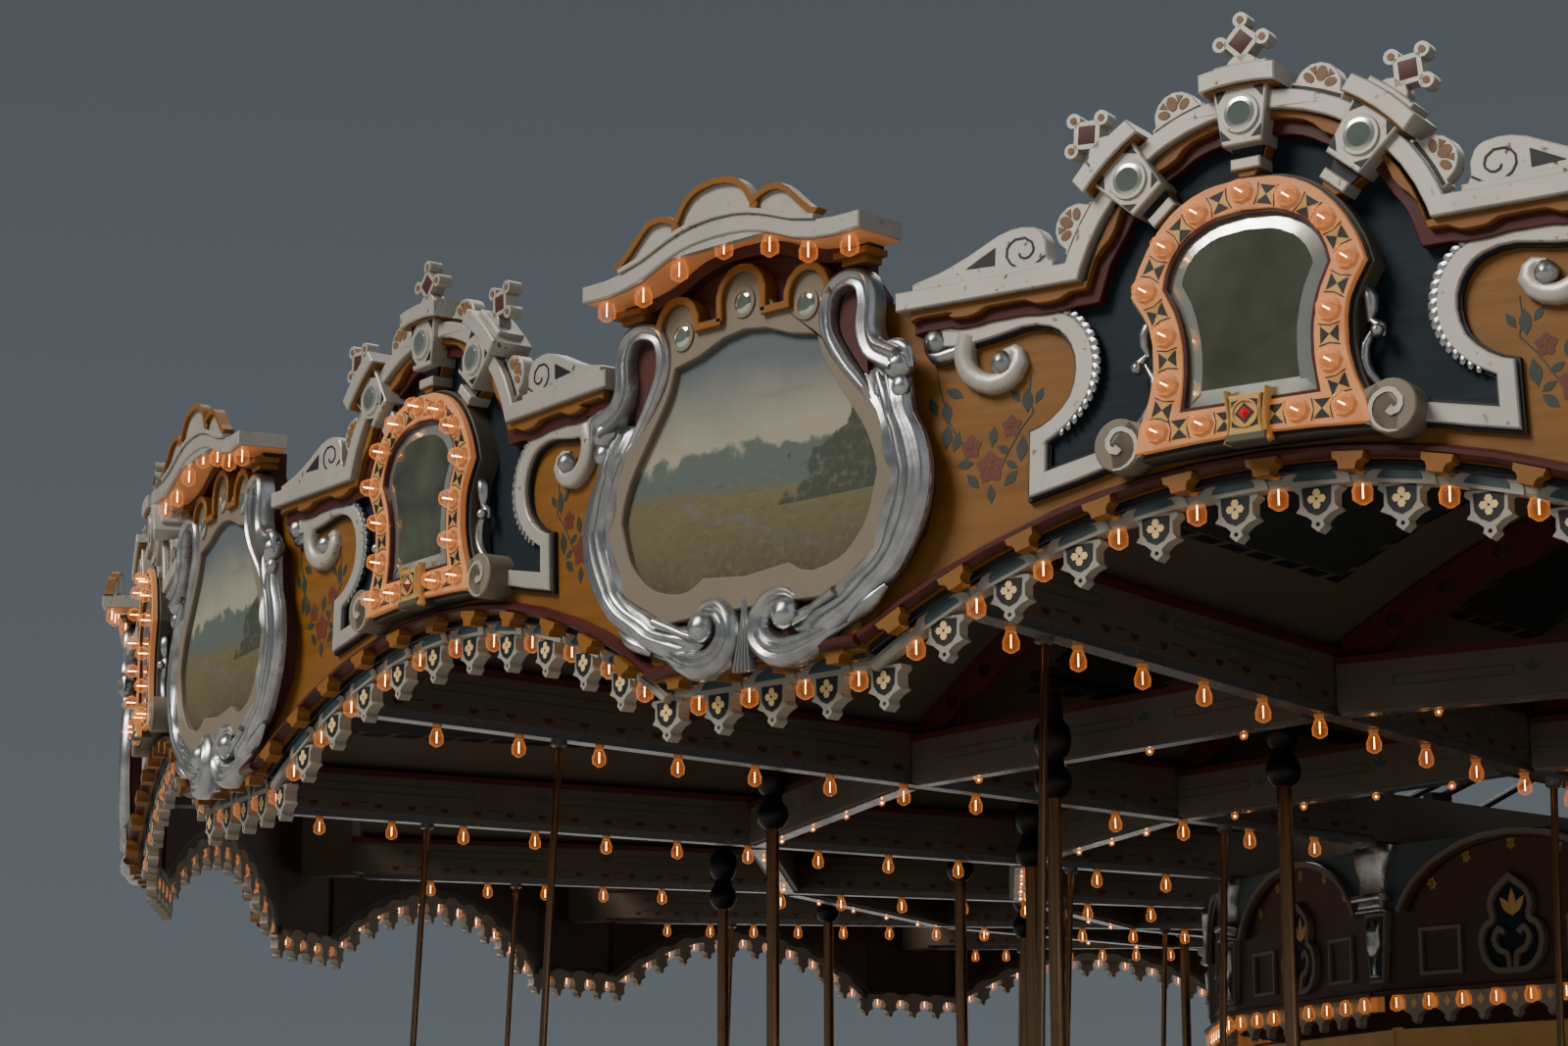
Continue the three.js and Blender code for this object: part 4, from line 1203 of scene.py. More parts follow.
LOOP = [(392, 3352), (344, 3424), (296, 3482), (256, 3548), (250, 3606), (270, 3646), (318, 3661),
        (358, 3644), (372, 3600), (368, 3544), (386, 3496), (424, 3472), (452, 3458)]
LOOP_PROFILE = [(22, FACET), (22, FACET + 28), (18, FACET + 39), (11, FACET + 43), (5, FACET + 35),
                (-6, FACET + 33), (-12, FACET + 40), (-18, FACET + 39), (-22, FACET + 28), (-22, FACET)]
LOOP_FILL = [(318, 3642), (346, 3616), (354, 3566), (352, 3500), (352, 3448), (318, 3490), (276, 3560),
             (284, 3622)]
KNOT_LEAVES = ([(398, 3484), (436, 3494), (474, 3478), (486, 3436)],
               [(392, 3440), (410, 3398), (424, 3352), (420, 3318)])
SCROLL = [(148, 2990), (116, 3004), (78, 2996), (50, 2964), (50, 2922), (84, 2890), (134, 2880), (186, 2892),
          (240, 2914), (296, 2930)]
SCROLL_PROFILE = [(34, FACET), (34, FACET + 28), (28, FACET + 42), (18, FACET + 49), (11, FACET + 42),
                  (2, FACET + 51), (-6, FACET + 43), (-16, FACET + 49), (-27, FACET + 42), (-34, FACET + 28),
                  (-34, FACET)]


def tapered(path, profile, stops, widths):
    """A carved member whose width goes through the widths at the numbered points of its path."""
    wide = np.interp(np.arange(len(path)), [*stops, len(path) - 1], widths)
    return sweep(path, profile, wide, tolerance=CARVING_TOLERANCE)


def frame_carving():
    front, backing = shield_relief()
    CARVED.put(pair(front), FACETS)
    LOOPS.put(pair(backing), FACETS)
    loop = tapered(curve(LOOP, 6), LOOP_PROFILE, (0, 14, 34), (0.5, 0.85, 1.0, 1.3))
    LOOPS.put(pair(loop), FACETS)
    MAROON_WOOD.put(pair(flat([curve(LOOP_FILL, 4, closed=True)], FACET - 2, FACET + 14)), FACETS)
    CURLS.put(pair(ball(38, 446, 3450, FACET + 16, 0.8, 13)), FACETS)
    CURLS.put(pair(ball(26, 452, 3402, FACET + 20, 0.7, 11)), FACETS)
    for points in KNOT_LEAVES:
        CURLS.put(pair(leaf_lobe(points, 15, FACET + 24)), FACETS)
    volute()
    tail = [(296, 2926), (330, 2946), (362, 2962), (400, 2990)]
    CURLS.put(pair(leaf_lobe(tail, 18, FACET + 10, 1.5)), FACETS)
    for k in range(-2, 3):
        fan = curve([(k * 3, 3014), (k * 4, 2950), (k * 8, 2895), (k * 12, 2852)], 3)
        CURLS.put(sweep(fan, half_round(7, FACET + 16, 3.0, 5), np.linspace(0.45, 1.0, len(fan))), FACETS)


def volute():
    """The pair of rolled leaves that meet under the picture."""
    scroll = tapered(curve(SCROLL, 6), SCROLL_PROFILE, (0, 10, 24, 38), (0.5, 0.8, 1.0, 0.95, 0.25))
    LOOPS.put(pair(scroll), FACETS)
    CURLS.put(pair(ball(37, 126, 2962, FACET + 28, 0.8, 13)), FACETS)
    stem = curve([(270, 2992), (220, 2970), (172, 2950), (132, 2936)], 5)
    LOOPS.put(pair(sweep(stem, half_round(13, FACET + 16, 2.0, 7), np.linspace(1.1, 0.7, len(stem)))), FACETS)


for job in (bay_board, cornice, keystones, crests, scroll_frames, bay_mirror, stencils, valance, shield):
    job()

# Overhead frame
SWEEPS = Piece("sweeps", beam, "taupe_paint")
SWEEP_TRIM = Piece("sweep_mouldings", rib, "maroon_paint")
CHANNELS = Piece("lamp_channels", strip, "iron")
BEAM_STENCIL = Piece("beam_stencils", beam_green, "taupe_paint")
RIBS = Piece("fretwork_ribs", rib, "maroon_paint")
VAULT = Piece("vault_boards", vault_paint, "ceiling_paint")
IRONWORK = Piece("overhead_iron", iron, "iron")
HEAD = Piece("mast_head_iron", iron, "iron")


def sloped(part):
    """Lifts a part that runs along a sweep to the sweep's slope."""
    co = part[0].copy()
    co[:, 1] += sweep_low(co[:, 2])
    return co, part[1]


def along(part, side):
    """Lays a flat part on a sweep's side: its x becomes the radius."""
    x, z, d = part[0].T
    if side > 0:
        return np.stack([d, z, x], 1), [face[::-1] for face in part[1]]
    return np.stack([-d, z, x], 1), part[1]


def cartouche(long, tall, face):
    outer = np.vstack([arc(long / 2, 0, tall, -60, 60, 3), arc(-long / 2, 0, tall, 120, 240, 3)])
    parts = [flat([outer, inset(outer, 5)], face, face + 1)]
    for lean in (-50, 0, 50):
        leaf = flat([[(0, 0), (9, 15), (0, 36), (-9, 15)]], face, face + 1)
        parts.append(move(turn(leaf, lean), long / 2 + 62, -8))
    return join(*parts)


def sweeps():
    for d in range(SWEEP_IN, SWEEP_OUT, 445):
        d1 = min(d + 445, SWEEP_OUT)
        SWEEPS.put(sloped(block(-50, 50, 24, 152, d, d1)), FACETS)
        SWEEP_TRIM.put(sloped(block(-58, 58, 150, 170, d, d1)), FACETS)
    CHANNELS.put(sloped(block(-30, 30, 0, 26, SWEEP_IN, SWEEP_OUT - 44, 2)), FACETS)
    SWEEPS.put(sloped(block(-48, 48, 10, 168, 520, SWEEP_IN + 5)), FACETS)
    SWEEPS.put(block(-50, 50, 3108, 3640, SWEEP_OUT + 1, FACET - 35), FACETS)
    for k in range(13):
        r = SWEEP_R - 1 - 250.8 * k
        lamp(0, sweep_low(r) - 40, r, FACETS)


def sweep_paint():
    """Half-moons, dashes and cartouches on both sides of each sweep."""
    moon = flat([arc(0, 0, 17, 180, 360, 4)], 50, 51.2)
    dash = block(-20, 20, 0, 4, 50, 51.2)
    painted = [(SWEEP_TRIM, moon, 60 + 114 * k, 52) for k in range(30)]
    painted += [(SWEEP_TRIM, dash, 117 + 228 * k, 54) for k in range(15)]
    painted += [(BEAM_STENCIL, cartouche(540, 19, 50), 400 + 860 * k, 108) for k in range(4)]
    for piece, part, far, z in painted:
        for side in (1, -1):
            piece.put(sloped(along(move(part, SWEEP_IN + far, z), side)), FACETS)


def cross_beams():
    for apothem in BEAMS:
        low = sweep_low(apothem)
        half = apothem * TAN - 50
        for piece, z0, z1, wide in ((SWEEPS, 8, 134, 43), (SWEEP_TRIM, 132, 150, 50), (CHANNELS, 0, 9, 26)):
            piece.put(block(-half, half, low + z0, low + z1, apothem - wide, apothem + wide))
        for x in (-500, 0, 500):
            BEAM_STENCIL.put(move(cartouche(300, 17, 43), x, low + 76, apothem))
        for k in range(4):
            x = (k - 1.5) * half / 2.2
            BULBS.put(ball(13, x, low - 8, apothem, 0.8, 6, 5))
            FILAMENTS.put(ball(4, x, low - 9, apothem, 1.0, 4, 4))
        fretwork(apothem)


def fretwork(apothem):
    """A maroon rib that follows the vault over a cross beam, cut with a row of holes."""
    half = apothem * TAN - 52
    x = np.linspace(-half, half, 33)
    phi = np.arctan2(x, apothem)
    top = sweep_low(np.hypot(x, apothem)) + 165 + VAULT_RISE * np.cos(phi * SECTIONS / 2)
    thick = 100 + 13 * np.cos(np.linspace(0, 16 * np.pi, 33) + np.pi)
    low = np.maximum(top - thick, sweep_low(apothem) + 152)
    upper = np.stack([x, top], 1)
    lower = np.stack([x, low], 1)
    holes = []
    for k in range(3, 30, 3):
        if top[k] - low[k] > 75:
            holes.append(arc(x[k], (top[k] + low[k]) / 2, 32, 0, 300, 5, 0.7))
    RIBS.put(flat([np.vstack([lower, upper[::-1]])] + holes, apothem - 12, apothem + 12))


VAULT_ROWS = 9
VAULT_COLUMNS = 13


def vault():
    """The ceiling sheet: its UV is x and radius, which its paint needs."""
    co, uv = [], []
    for layer in (0, 22):
        for r in np.linspace(3235, 6850, VAULT_ROWS):
            for phi in np.linspace(-STEP / 2, STEP / 2, VAULT_COLUMNS):
                reach = r * math.cos(STEP / 2) / math.cos(phi)
                x, d = reach * math.sin(phi), reach * math.cos(phi)
                rise = VAULT_RISE * math.cos(phi * SECTIONS / 2)
                co.append((x, sweep_low(r) + 172 + rise + layer, d))
                uv.append((x, d))
    faces = []
    for layer in (0, 1):
        for row in range(VAULT_ROWS - 1):
            for k in range(VAULT_COLUMNS - 1):
                a = (layer * VAULT_ROWS + row) * VAULT_COLUMNS + k
                quad = [a, a + 1, a + VAULT_COLUMNS + 1, a + VAULT_COLUMNS]
                faces.append(quad if layer == 0 else quad[::-1])
    VAULT.put(outward(np.array(co), faces))
    VAULT.blocks = [(world, np.array(uv) * MM, loops, sizes) for world, _, loops, sizes in VAULT.blocks]


def bar(ends, radius, sides):
    return tube(ends, radius, sides, up=(1, 0, 0))


RODS = Piece("hanger_rods", brass, "brass")
for rod_r in (OUTER_ROD_R, INNER_ROD_R):
    rod_top, rod_foot = sweep_low(rod_r), DECK_TOP - 30
    rod_ends = [(0, rod_foot, rod_r + ROD_LEAN * (rod_top - rod_foot)), (0, rod_top - 1, rod_r)]
    RODS.put(bar(rod_ends, 11, 10), FACETS)
    CHANNELS.put(move(lathe([(24, 0), (24, -14), (14, -20)]), 0, rod_top + 1, rod_r), FACETS)


def overhead_gear():
    for reach, radius, sides in ((5260, 19, 8), (1210, 54, 14)):
        ends = [(SHAFT_X, sweep_low(r) + SHAFT_LIFT, r) for r in (1150, reach)]
        IRONWORK.put(bar(ends, radius, sides))
    HEAD.put(lathe([(176, 2690), (600, 2690), (618, 2705), (618, 2850), (600, 2862), (176, 2862)], 36), ONCE)
    cap = [(176, 4272), (262, 4272), (268, 4290), (268, 4400), (262, 4420), (262, 4440), (236, 4488),
           (60, 4490), (0, 4490)]
    HEAD.put(lathe(cap, 36), ONCE)
    low = sweep_low(3040)
    HEAD.put(bar([(0, low + 186, 3040), (0, 4350, 230)], 15, 8), FACETS)
    HEAD.put(block(-24, 24, low + 166, low + 200, 3000, 3080), FACETS)


for job in (sweeps, sweep_paint, cross_beams, vault, overhead_gear):
    job()

# Inner cornice round the middle
INNER = Piece("inner_boards", inner_brown, "carved_boards")
INNER_DARK = Piece("inner_panels", navy, "carved_boards")
INNER_LINE = Piece("inner_mouldings", taupe, "carved_boards")
INNER_TEAL = Piece("inner_spandrels", teal, "carved_boards")
INNER_GOLD = Piece("inner_sprays", gold, "carved_boards")
INNER_SILVER = Piece("inner_brackets", carved, "silver_leaf", sharp=60)


ARCH_Z = 2580


def low_arch(radius, start, parts):
    """A flat arch over the inner panels."""
    return arc(0, ARCH_Z, radius, 180 - start, start, parts, 0.62)


def inner_boards():
    half = INNER_D * TAN
    INNER.put(block(-half, half, 2400, 2880, INNER_D - 38, INNER_D))
    spandrel = np.vstack([[(-half, 2878), (-half, 2700)], low_arch(480, 15, 20),
                          [(half, 2700), (half, 2878)]])
    INNER_TEAL.put(flat([spandrel], INNER_D, INNER_D + 6))
    INNER_LINE.put(sweep(low_arch(478, 16, 24), rect(9, INNER_D, INNER_D + 36)))
    INNER.put(sweep(low_arch(462, 17, 24), rect(8, INNER_D, INNER_D + 20)))
    for lean in (-52, -26, 0, 26, 52):
        x, z = 424 * math.sin(math.radians(lean)), ARCH_Z + 0.62 * 424 * math.cos(math.radians(lean))
        for k in (-50, 0, 50):
            INNER_GOLD.put(move(turn(petal_leaf(0, 0, k, 44, 11), -lean * 0.7), x, z, INNER_D - BAY))
    inner_panel()
    INNER.put(block(-half, half, 2396, 2412, INNER_D, INNER_D + 42, 3))
    inner_lamps()
    pilaster()


def inner_panel():
    club = both(curve([(0, 2436), (70, 2442), (118, 2484), (134, 2546), (112, 2596), (84, 2612), (92, 2650),
                       (76, 2696), (36, 2726), (0, 2752)], 4))
    INNER_LINE.put(flat([club, inset(club, 21)], INNER_D, INNER_D + 22, 2))
    INNER_DARK.put(flat([inset(club, 19)], INNER_D, INNER_D + 6))
    hook = curve([(12, 2452), (20, 2498), (52, 2512), (72, 2548), (52, 2578), (28, 2562)], 5)
    INNER_LINE.put(pair(sweep(hook, rect(10, INNER_D + 4, INNER_D + 20, 2))))
    for k in (-40, 0, 40):
        INNER_GOLD.put(move(petal_leaf(0, 0, k, 80, 14), -0.6 * k, 2662 - abs(k) * 0.4, INNER_D + 7 - BAY))
    panel = [(214, 2452), (392, 2452), (392, 2606), (214, 2606)]
    INNER_LINE.put(pair(flat([panel, inset(panel, 14)], INNER_D, INNER_D + 12, 2)))


def inner_lamps():
    for k in range(8):
        x = (k - 3.5) * 140
        lamp(x, 2366, INNER_D + 20, BAYS)
        # A glowing block over each lamp: painted lamplight.
        SOFFIT.put(block(x - 30, x + 30, 2352, 2400, INNER_D - 38, INNER_D - 12, 3))
    for k in range(-3, 4):
        PENDANTS.put(move(plate(PENDANT[::-1], INNER_D - 14, INNER_D + 12), k * 140, 2398))
        drop = flat([[(0, -12), (-14, -30), (0, -48), (14, -30)]], INNER_D + 12, INNER_D + 14)
        CREAM.put(move(drop, k * 140, 2398))


def pilaster():
    """The tapered pilaster with its stacked capital at each corner of the inner cornice."""
    blocks = ((78, 2700, 2722, POST_D, POST_D + 62, 4), (60, 2676, 2700, POST_D, POST_D + 48, 4),
              (66, 2664, 2676, POST_D, POST_D + 54, 3), (6, 2462, 2524, POST_D + 26, POST_D + 36, 2),
              (20, 2456, 2466, POST_D + 26, POST_D + 36, 2))
    for half, z0, z1, d0, d1, chamfer in blocks:
        INNER_SILVER.put(block(-half, half, z0, z1, d0, d1, chamfer), FACETS)
    capital = [(0, 2722), (60, 2722), (54, 2770), (72, 2806), (84, 2850), (84, 2880), (0, 2880)]
    INNER_SILVER.put(plate(capital, POST_D, POST_D + 40, 4), FACETS)
    INNER_LINE.put(plate([(36, 2436), (58, 2664)], POST_D, POST_D + 26, 3), FACETS)
    BLACK.put(plate([(26, 2450), (46, 2652)], POST_D + 25, POST_D + 28), FACETS)
    cup = curve([(0, 2520), (20, 2530), (32, 2562), (28, 2600), (38, 2630), (18, 2612), (0, 2640)], 3)
    INNER_SILVER.put(plate(cup, POST_D + 26, POST_D + 40, 4), FACETS)


inner_boards()

# Fixed middle
DRUM = Piece("drum_panels", navy, "centre_panels", body="centre")
DRUM_TRIM = Piece("drum_mouldings", gold, "centre_panels", body="centre")
DRUM_GLASS = Piece("drum_mirrors", pale_glass_painted_reflection, "mirror_glass", body="centre")
SILLS = Piece("ground_sills", timber, "timber", body="centre")
MAST = Piece("mast_and_braces", mast_cream, "cream_paint", body="centre")
GEAR = Piece("fixed_ring_gear", iron, "iron", body="centre")


def ring_block(sides, inner, outer, z0, z1, turn_by=STEP / 2):
    t = turn_by + (2 * np.arange(sides) + 1) * np.pi / sides
    reach = 1 / math.cos(np.pi / sides)
    loops = [np.stack([r * reach * np.cos(t), r * reach * np.sin(t)], 1) for r in (outer, inner)]
    co, faces = flat(loops, z0, z1)
    x, y, z = co.T
    return outward(np.stack([y, z, x], 1), faces)


def drum():
    half = DRUM_D * TAN
    DRUM.put(block(-half, half, 151, 2299, DRUM_D - 39, DRUM_D))
    for z0, z1 in ((170, 250), (2210, 2292)):
        DRUM_TRIM.put(block(-half, half, z0, z1, DRUM_D - 2, DRUM_D + 14, 4))
    glass = np.vstack([[(-330, 700), (330, 700)], arc(0, 1650, 330, 0, 180, 16)])
    DRUM_TRIM.put(flat([inset(glass, -34), glass], DRUM_D - 2, DRUM_D + 22, 4))
    DRUM_GLASS.put(flat([glass], DRUM_D - 4, DRUM_D + 4))
    panel = [both([(380, 330), (380, 600)]), both([(356, 354), (356, 576)])]
    DRUM_TRIM.put(flat(panel, DRUM_D - 2, DRUM_D + 10, 3))
    DRUM_TRIM.put(block(-26, 26, 150, 2299, DRUM_D + 26, DRUM_D + 56, 4), FACETS)


def frame_and_mast():
    SILLS.put(ring_block(SECTIONS, 3030, DRUM_D - 1, 0, 150), ONCE)
    SILLS.put(ring_block(6, 120, 600, 0, 150, 0), ONCE)
    spokes = [k * math.pi / 3 + STEP / 2 for k in range(6)]
    SILLS.put(block(-79, 79, 0, 149, 520, 3060, 4), spokes)
    brace = flat([[(100, 1900), (1900, 151), (2100, 151), (100, 2100)]], -54, 54, 4)
    MAST.put(along(brace, 1), spokes)
    MAST.put(lathe([(149, 151), (149, 4420)], 36), ONCE)


def ring_gear():
    for sides, inner, outer in ((SECTIONS, 1111, 1219), (12, 151, 209)):
        GEAR.put(ring_block(sides, inner, outer, 2990, 3022), ONCE)
    GEAR.put(block(-11, 11, 2984, 3006, 1140, 1218, 2), [2 * math.pi * i / 108 for i in range(108)])
    GEAR.put(block(-34, 34, 2991, 3021, 195, 1120, 3), [2 * math.pi * k / 3 for k in range(3)])


for job in (drum, frame_and_mast, ring_gear):
    job()

# Platform
DECK = Piece("deck_boards", planks, "deck_timber")
SKIRT = Piece("deck_skirt", ochre, "carved_boards")
SKIRT_TRIM = Piece("skirt_mouldings", maroon, "maroon_paint")
SKIRT_GOLD = Piece("skirt_inlay", gold, "carved_boards")
POLE_FEET = Piece("pole_bushes", iron, "iron")


def hole_at(x, d):
    return arc(x, d, 34, 0, 345, 15)


def platform():
    """Each section's boards run across it, with round holes where poles pass."""
    for i, angle in enumerate(BAYS):
        for d0 in range(3300, SKIRT_D, 200):
            d1 = d0 + 197
            loops = [[(-d0 * TAN, d0), (d0 * TAN, d0), (d1 * TAN, d1), (-d1 * TAN, d1)]]
            loops += [hole_at(0, row) for row in ROWS if i in RIDERS and d0 + 36 < row < d1 - 36]
            co, faces = flat(loops, 362, DECK_TOP, 2)
            DECK.put(outward(co[:, [0, 2, 1]], faces), (angle,))
    half = SKIRT_D * TAN
    SKIRT.put(block(-half, half, 132, 418, SKIRT_D - 38, SKIRT_D - 1))
    SKIRT_TRIM.put(block(-half, half, 380, 420, SKIRT_D - 4, SKIRT_D + 22, 8))
    SKIRT_TRIM.put(block(-half, half, 132, 160, SKIRT_D - 4, SKIRT_D + 14, 6))
    for x in range(-900, 901, 300):
        lozenge = [(x - 110, 270), (x, 210), (x + 110, 270), (x, 330)]
        SKIRT_GOLD.put(flat([lozenge, inset(lozenge, 14)], SKIRT_D - 2, SKIRT_D + 6))
        SKIRT_GOLD.put(move(gem(26, 0, 0, 8), x, 270, SKIRT_D))
    bush = lathe([(46, 0), (46, 6), (34, 10), (30, 10), (30, 0)], 14)
    for row in ROWS:
        POLE_FEET.put(move(bush, 0, DECK_TOP, row), [BAYS[i] for i in RIDERS])


platform()

# Horses: their own x is forwards, y up and z to the side, in millimetres from the girth
STANDING = ([(300, -40, 66), (318, -190, 70), (300, -380, 72), (296, -520, 72), (300, -690, 72)],
            [(300, -40, -66), (372, -180, -70), (470, -300, -72), (420, -450, -72), (468, -560, -72)],
            [(-330, 10, 70), (-350, -170, 76), (-430, -350, 76), (-400, -520, 76), (-410, -690, 76)],
            [(-330, 10, -70), (-310, -180, -76), (-370, -350, -76), (-310, -520, -76), (-318, -690, -76)])
JUMPING = ([(300, -40, 66), (390, -150, 70), (520, -240, 72), (470, -390, 72), (400, -470, 72)],
           [(300, -40, -66), (410, -120, -70), (560, -160, -72), (560, -310, -72), (490, -410, -72)],
           [(-330, 10, 70), (-370, -170, 76), (-500, -290, 76), (-520, -440, 76), (-620, -520, 76)],
           [(-330, 10, -70), (-390, -150, -76), (-540, -230, -76), (-590, -380, -76), (-690, -440, -76)])
COAT = (([(-430, 60, 0), (-390, 50, 0), (-260, 30, 0), (-60, 0, 0), (150, 0, 0), (290, 30, 0), (370, 70, 0)],
         [40, 120, 150, 140, 145, 140, 60], 14),
        ([(300, 60, 0), (400, 190, 0), (480, 340, 0), (530, 440, 0)], [130, 98, 74, 56], 12),
        ([(500, 470, 0), (560, 440, 0), (640, 360, 0), (720, 270, 0), (760, 235, 0)],
         [50, 62, 50, 38, 26], 12),
        ([(506, 490, -26), (512, 520, -26), (520, 552, -26)], [18, 16, 3], 6),
        ([(506, 490, 26), (512, 520, 26), (520, 552, 26)], [18, 16, 3], 6))
HAIR = (([(540, 500, 0), (470, 430, 18), (420, 330, 26), (350, 220, 30), (300, 150, 26)],
         [16, 44, 50, 48, 16], 8),
        ([(-440, 110, 0), (-520, 90, 0), (-570, -60, 0), (-560, -240, 0), (-590, -330, 0)],
         [20, 44, 56, 44, 8], 8))
SADDLE = (([(-150, 120, 0), (-90, 142, 0), (20, 138, 0), (90, 160, 0)], [70, 104, 104, 40], 12),
          ([(-165, 120, 0), (-185, 190, 0), (-190, 216, 0)], [96, 60, 12], 10),
          ([(690, 262, 44), (500, 210, 96), (120, 190, 60)], [6, 6, 6], 5),
          ([(690, 262, -44), (500, 210, -96), (120, 190, -60)], [6, 6, 6], 5))
STRAPS = ((-20, 0, 150, 12, 0, 1), (210, 0, 150, 12, 0, 1), (690, 305, 47, 7, 0.7, 0.7),
          (596, 400, 62, 7, 0.7, 0.7))
HORSE_LOOKS = (("coat", ivory, "horse_white"), ("hair", mane, "horse_brown"),
               ("tack", leather, "maroon_paint"), ("hooves", iron, "iron"))


def egg(points, radii, sides):
    path = curve(points, 2)
    steps = np.linspace(0, len(points) - 1, len(path))
    return tube(path, np.interp(steps, range(len(radii)), radii), sides, up=(0, 0, 1))


def hoof(ankle, foot):
    x, y, w = foot
    along_x, along_y = x - ankle[0], y - ankle[1]
    reach = 54 / math.hypot(along_x, along_y)
    return egg([foot, (x + reach * along_x, y + reach * along_y, w)], [34, 44], 8)


def strap(x, y, radius, thick, lean_x, lean_y):
    """A hoop round the horse, whose height runs along the lean."""
    t = np.linspace(0, 2 * np.pi, 13)
    high, wide = radius * np.cos(t), radius * np.sin(t)
    return bar(np.stack([x + lean_x * high, y + lean_y * high, wide], 1), thick, 5)


def horse_parts(legs):
    coat = [egg(*shape) for shape in COAT] + [egg(points, [92, 66, 42, 30, 30], 8) for points in legs]
    hair = [egg(*shape) for shape in HAIR]
    tack = [egg(*shape) for shape in SADDLE] + [strap(*shape) for shape in STRAPS]
    hooves = [hoof(*points[-2:]) for points in legs]
    return [join(*parts) for parts in (coat, hair, tack, hooves)]


def to_ride(part, scale, z, d):
    """From the horse's own frame to a board frame: it looks along the turn."""
    x, y, w = part[0].T * scale
    return outward(np.stack([x, y + z, d - w], 1), part[1])


def horses():
    girth = DECK_TOP + OUTER_SCALE * GIRTH
    middle = OUTER_ROD_R + ROD_LEAN * (SWEEP_Z - girth)
    for part, (name, look, slot) in zip(horse_parts(STANDING), HORSE_LOOKS):
        piece = Piece(f"outer_horses_{name}", look, slot, sharp=70)
        piece.put(to_ride(part, OUTER_SCALE, girth, middle), FACETS)
    jump = horse_parts(JUMPING)
    rows = list(zip(ROW_SCALE, ROWS))
    jumper = [[to_ride(part, scale, DECK_TOP + JUMP_Z, d) for part in jump] for scale, d in rows]
    for body in ("jumpers_a", "jumpers_b"):
        for row, look, slot in ((0, ivory, "horse_white"), (1, chestnut, "horse_brown")):
            put_jumpers(Piece(f"{body}_coat_{row}", look, slot, body, 70), row, jumper[row][0])
        for k, (name, look, slot) in enumerate(HORSE_LOOKS[1:], 1):
            piece = Piece(f"{body}_{name}_0", look, slot, body, 70)
            for row in (0, 1):
                put_jumpers(piece, row, jumper[row][k])
        poles = Piece(f"{body}_poles", brass, "brass", body)
        tops = Piece(f"{body}_hangers", iron, "iron", body, 50)
        for row, d in enumerate(ROWS):
            put_jumpers(poles, row, bar([(0, 205, d), (0, 2930, d)], 21.5, 14))
            put_jumpers(tops, row, hanger(d))


def put_jumpers(piece, row, part):
    """Every second rider of a row is on the piece's body, which starts off the middle of its travel."""
    low = piece.body == "jumpers_b"
    lift = -JUMP_OFFSET if low else JUMP_OFFSET
    piece.put(move(part, z=lift), [BAYS[i] for i in RIDERS if (i + row) % 2 == low])


def hanger(d):
    top = sweep_low(d) + SHAFT_LIFT + 38
    shape = [(24, 2896), (36, 2902), (50, 2922), (53, 2948), (45, 2972), (34, 2986), (31, 3008), (42, 3018),
             (51, 3038), (53, 3066), (50, 3094), (40, 3108), (32, 3116), (32, top - 60), (24, top)]
    return move(lathe(shape, 14), d=d)


horses()

# Carriages
CAR = Piece("carriages", maroon_wood, "chariot_paint")
CAR_TRIM = Piece("carriage_carving", gold, "chariot_paint", sharp=55)
CAR_SEAT = Piece("carriage_seats", leather, "chariot_paint", sharp=60)


def carriages():
    side = curve([(-900, 0), (820, 0), (940, 120), (950, 300), (860, 500), (640, 560), (430, 540),
                  (100, 470), (-250, 480), (-500, 640), (-640, 830), (-880, 890), (-985, 720), (-960, 400),
                  (-930, 150)], 4, True)
    swirl = curve([(-800, 160), (-500, 120), (-100, 240), (300, 200), (620, 120), (780, 240), (700, 380),
                   (560, 340), (580, 250)], 6)
    base = DECK_TOP + 1
    angles = [STEP * spot for spot in CHARIOTS]
    for d, face in ((4310, 4275), (5050, 5069)):
        CAR.put(move(flat([side], d - 19, d + 19, 6), z=base), angles)
        edge = sweep(inset(side, 26), rect(12, face - 2, face + 14, 4), closed=True)
        for part in (edge, sweep(swirl, rect(16, face - 2, face + 16, 5)), ball(38, 596, 282, face + 7, 0.4)):
            CAR_TRIM.put(move(part, z=base), angles)
    CAR.put(block(-850, 800, base, base + 60, 4312, 5048), angles)
    for x0, x1, top in ((-840, -400, 380), (330, 700, 340)):
        CAR.put(block(x0, x1, base + 60, base + top - 60, 4330, 5030), angles)
        CAR_SEAT.put(block(x0 - 4, x1 + 14, base + top - 60, base + top + 20, 4326, 5034, 24), angles)
    CAR_SEAT.put(block(-870, -790, base + 380, base + 770, 4330, 5030, 26), angles)


carriages()


def names(prefix):
    return [n for n in frame["nodes"] if n.startswith(prefix)]


built = {piece.name: piece.build() for piece in PIECES}
REPLACED = {"bay_boards": "rounding_boards", "sweeps": "sweep_frame", "vault_boards": "ceiling",
            "inner_boards": "inner_cornice", "deck_boards": "deck", "carriages": "chariot",
            "mast_head_iron": "mast_head", "drum_panels": "drum", "ground_sills": "ground_frame",
            "mast_and_braces": "centre_mast", "fixed_ring_gear": "ring_gear"}
for piece, prefix in REPLACED.items():
    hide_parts(*names(prefix))
bodies = frame["record"]["behaviour"]["bodies"]
for body in ("jumpers_a", "jumpers_b"):
    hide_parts(*bodies[body])
node_looks = {"sweep": beam, "ceiling": vault_paint, "rounding": ochre, "inner": ochre_plain, "deck": planks,
              "chariot": maroon_wood, "mast_head": iron, "drum": navy, "ground": timber, "centre": mast_cream,
              "ring": iron, "jumper_middle": ivory, "jumper_inner": chestnut}
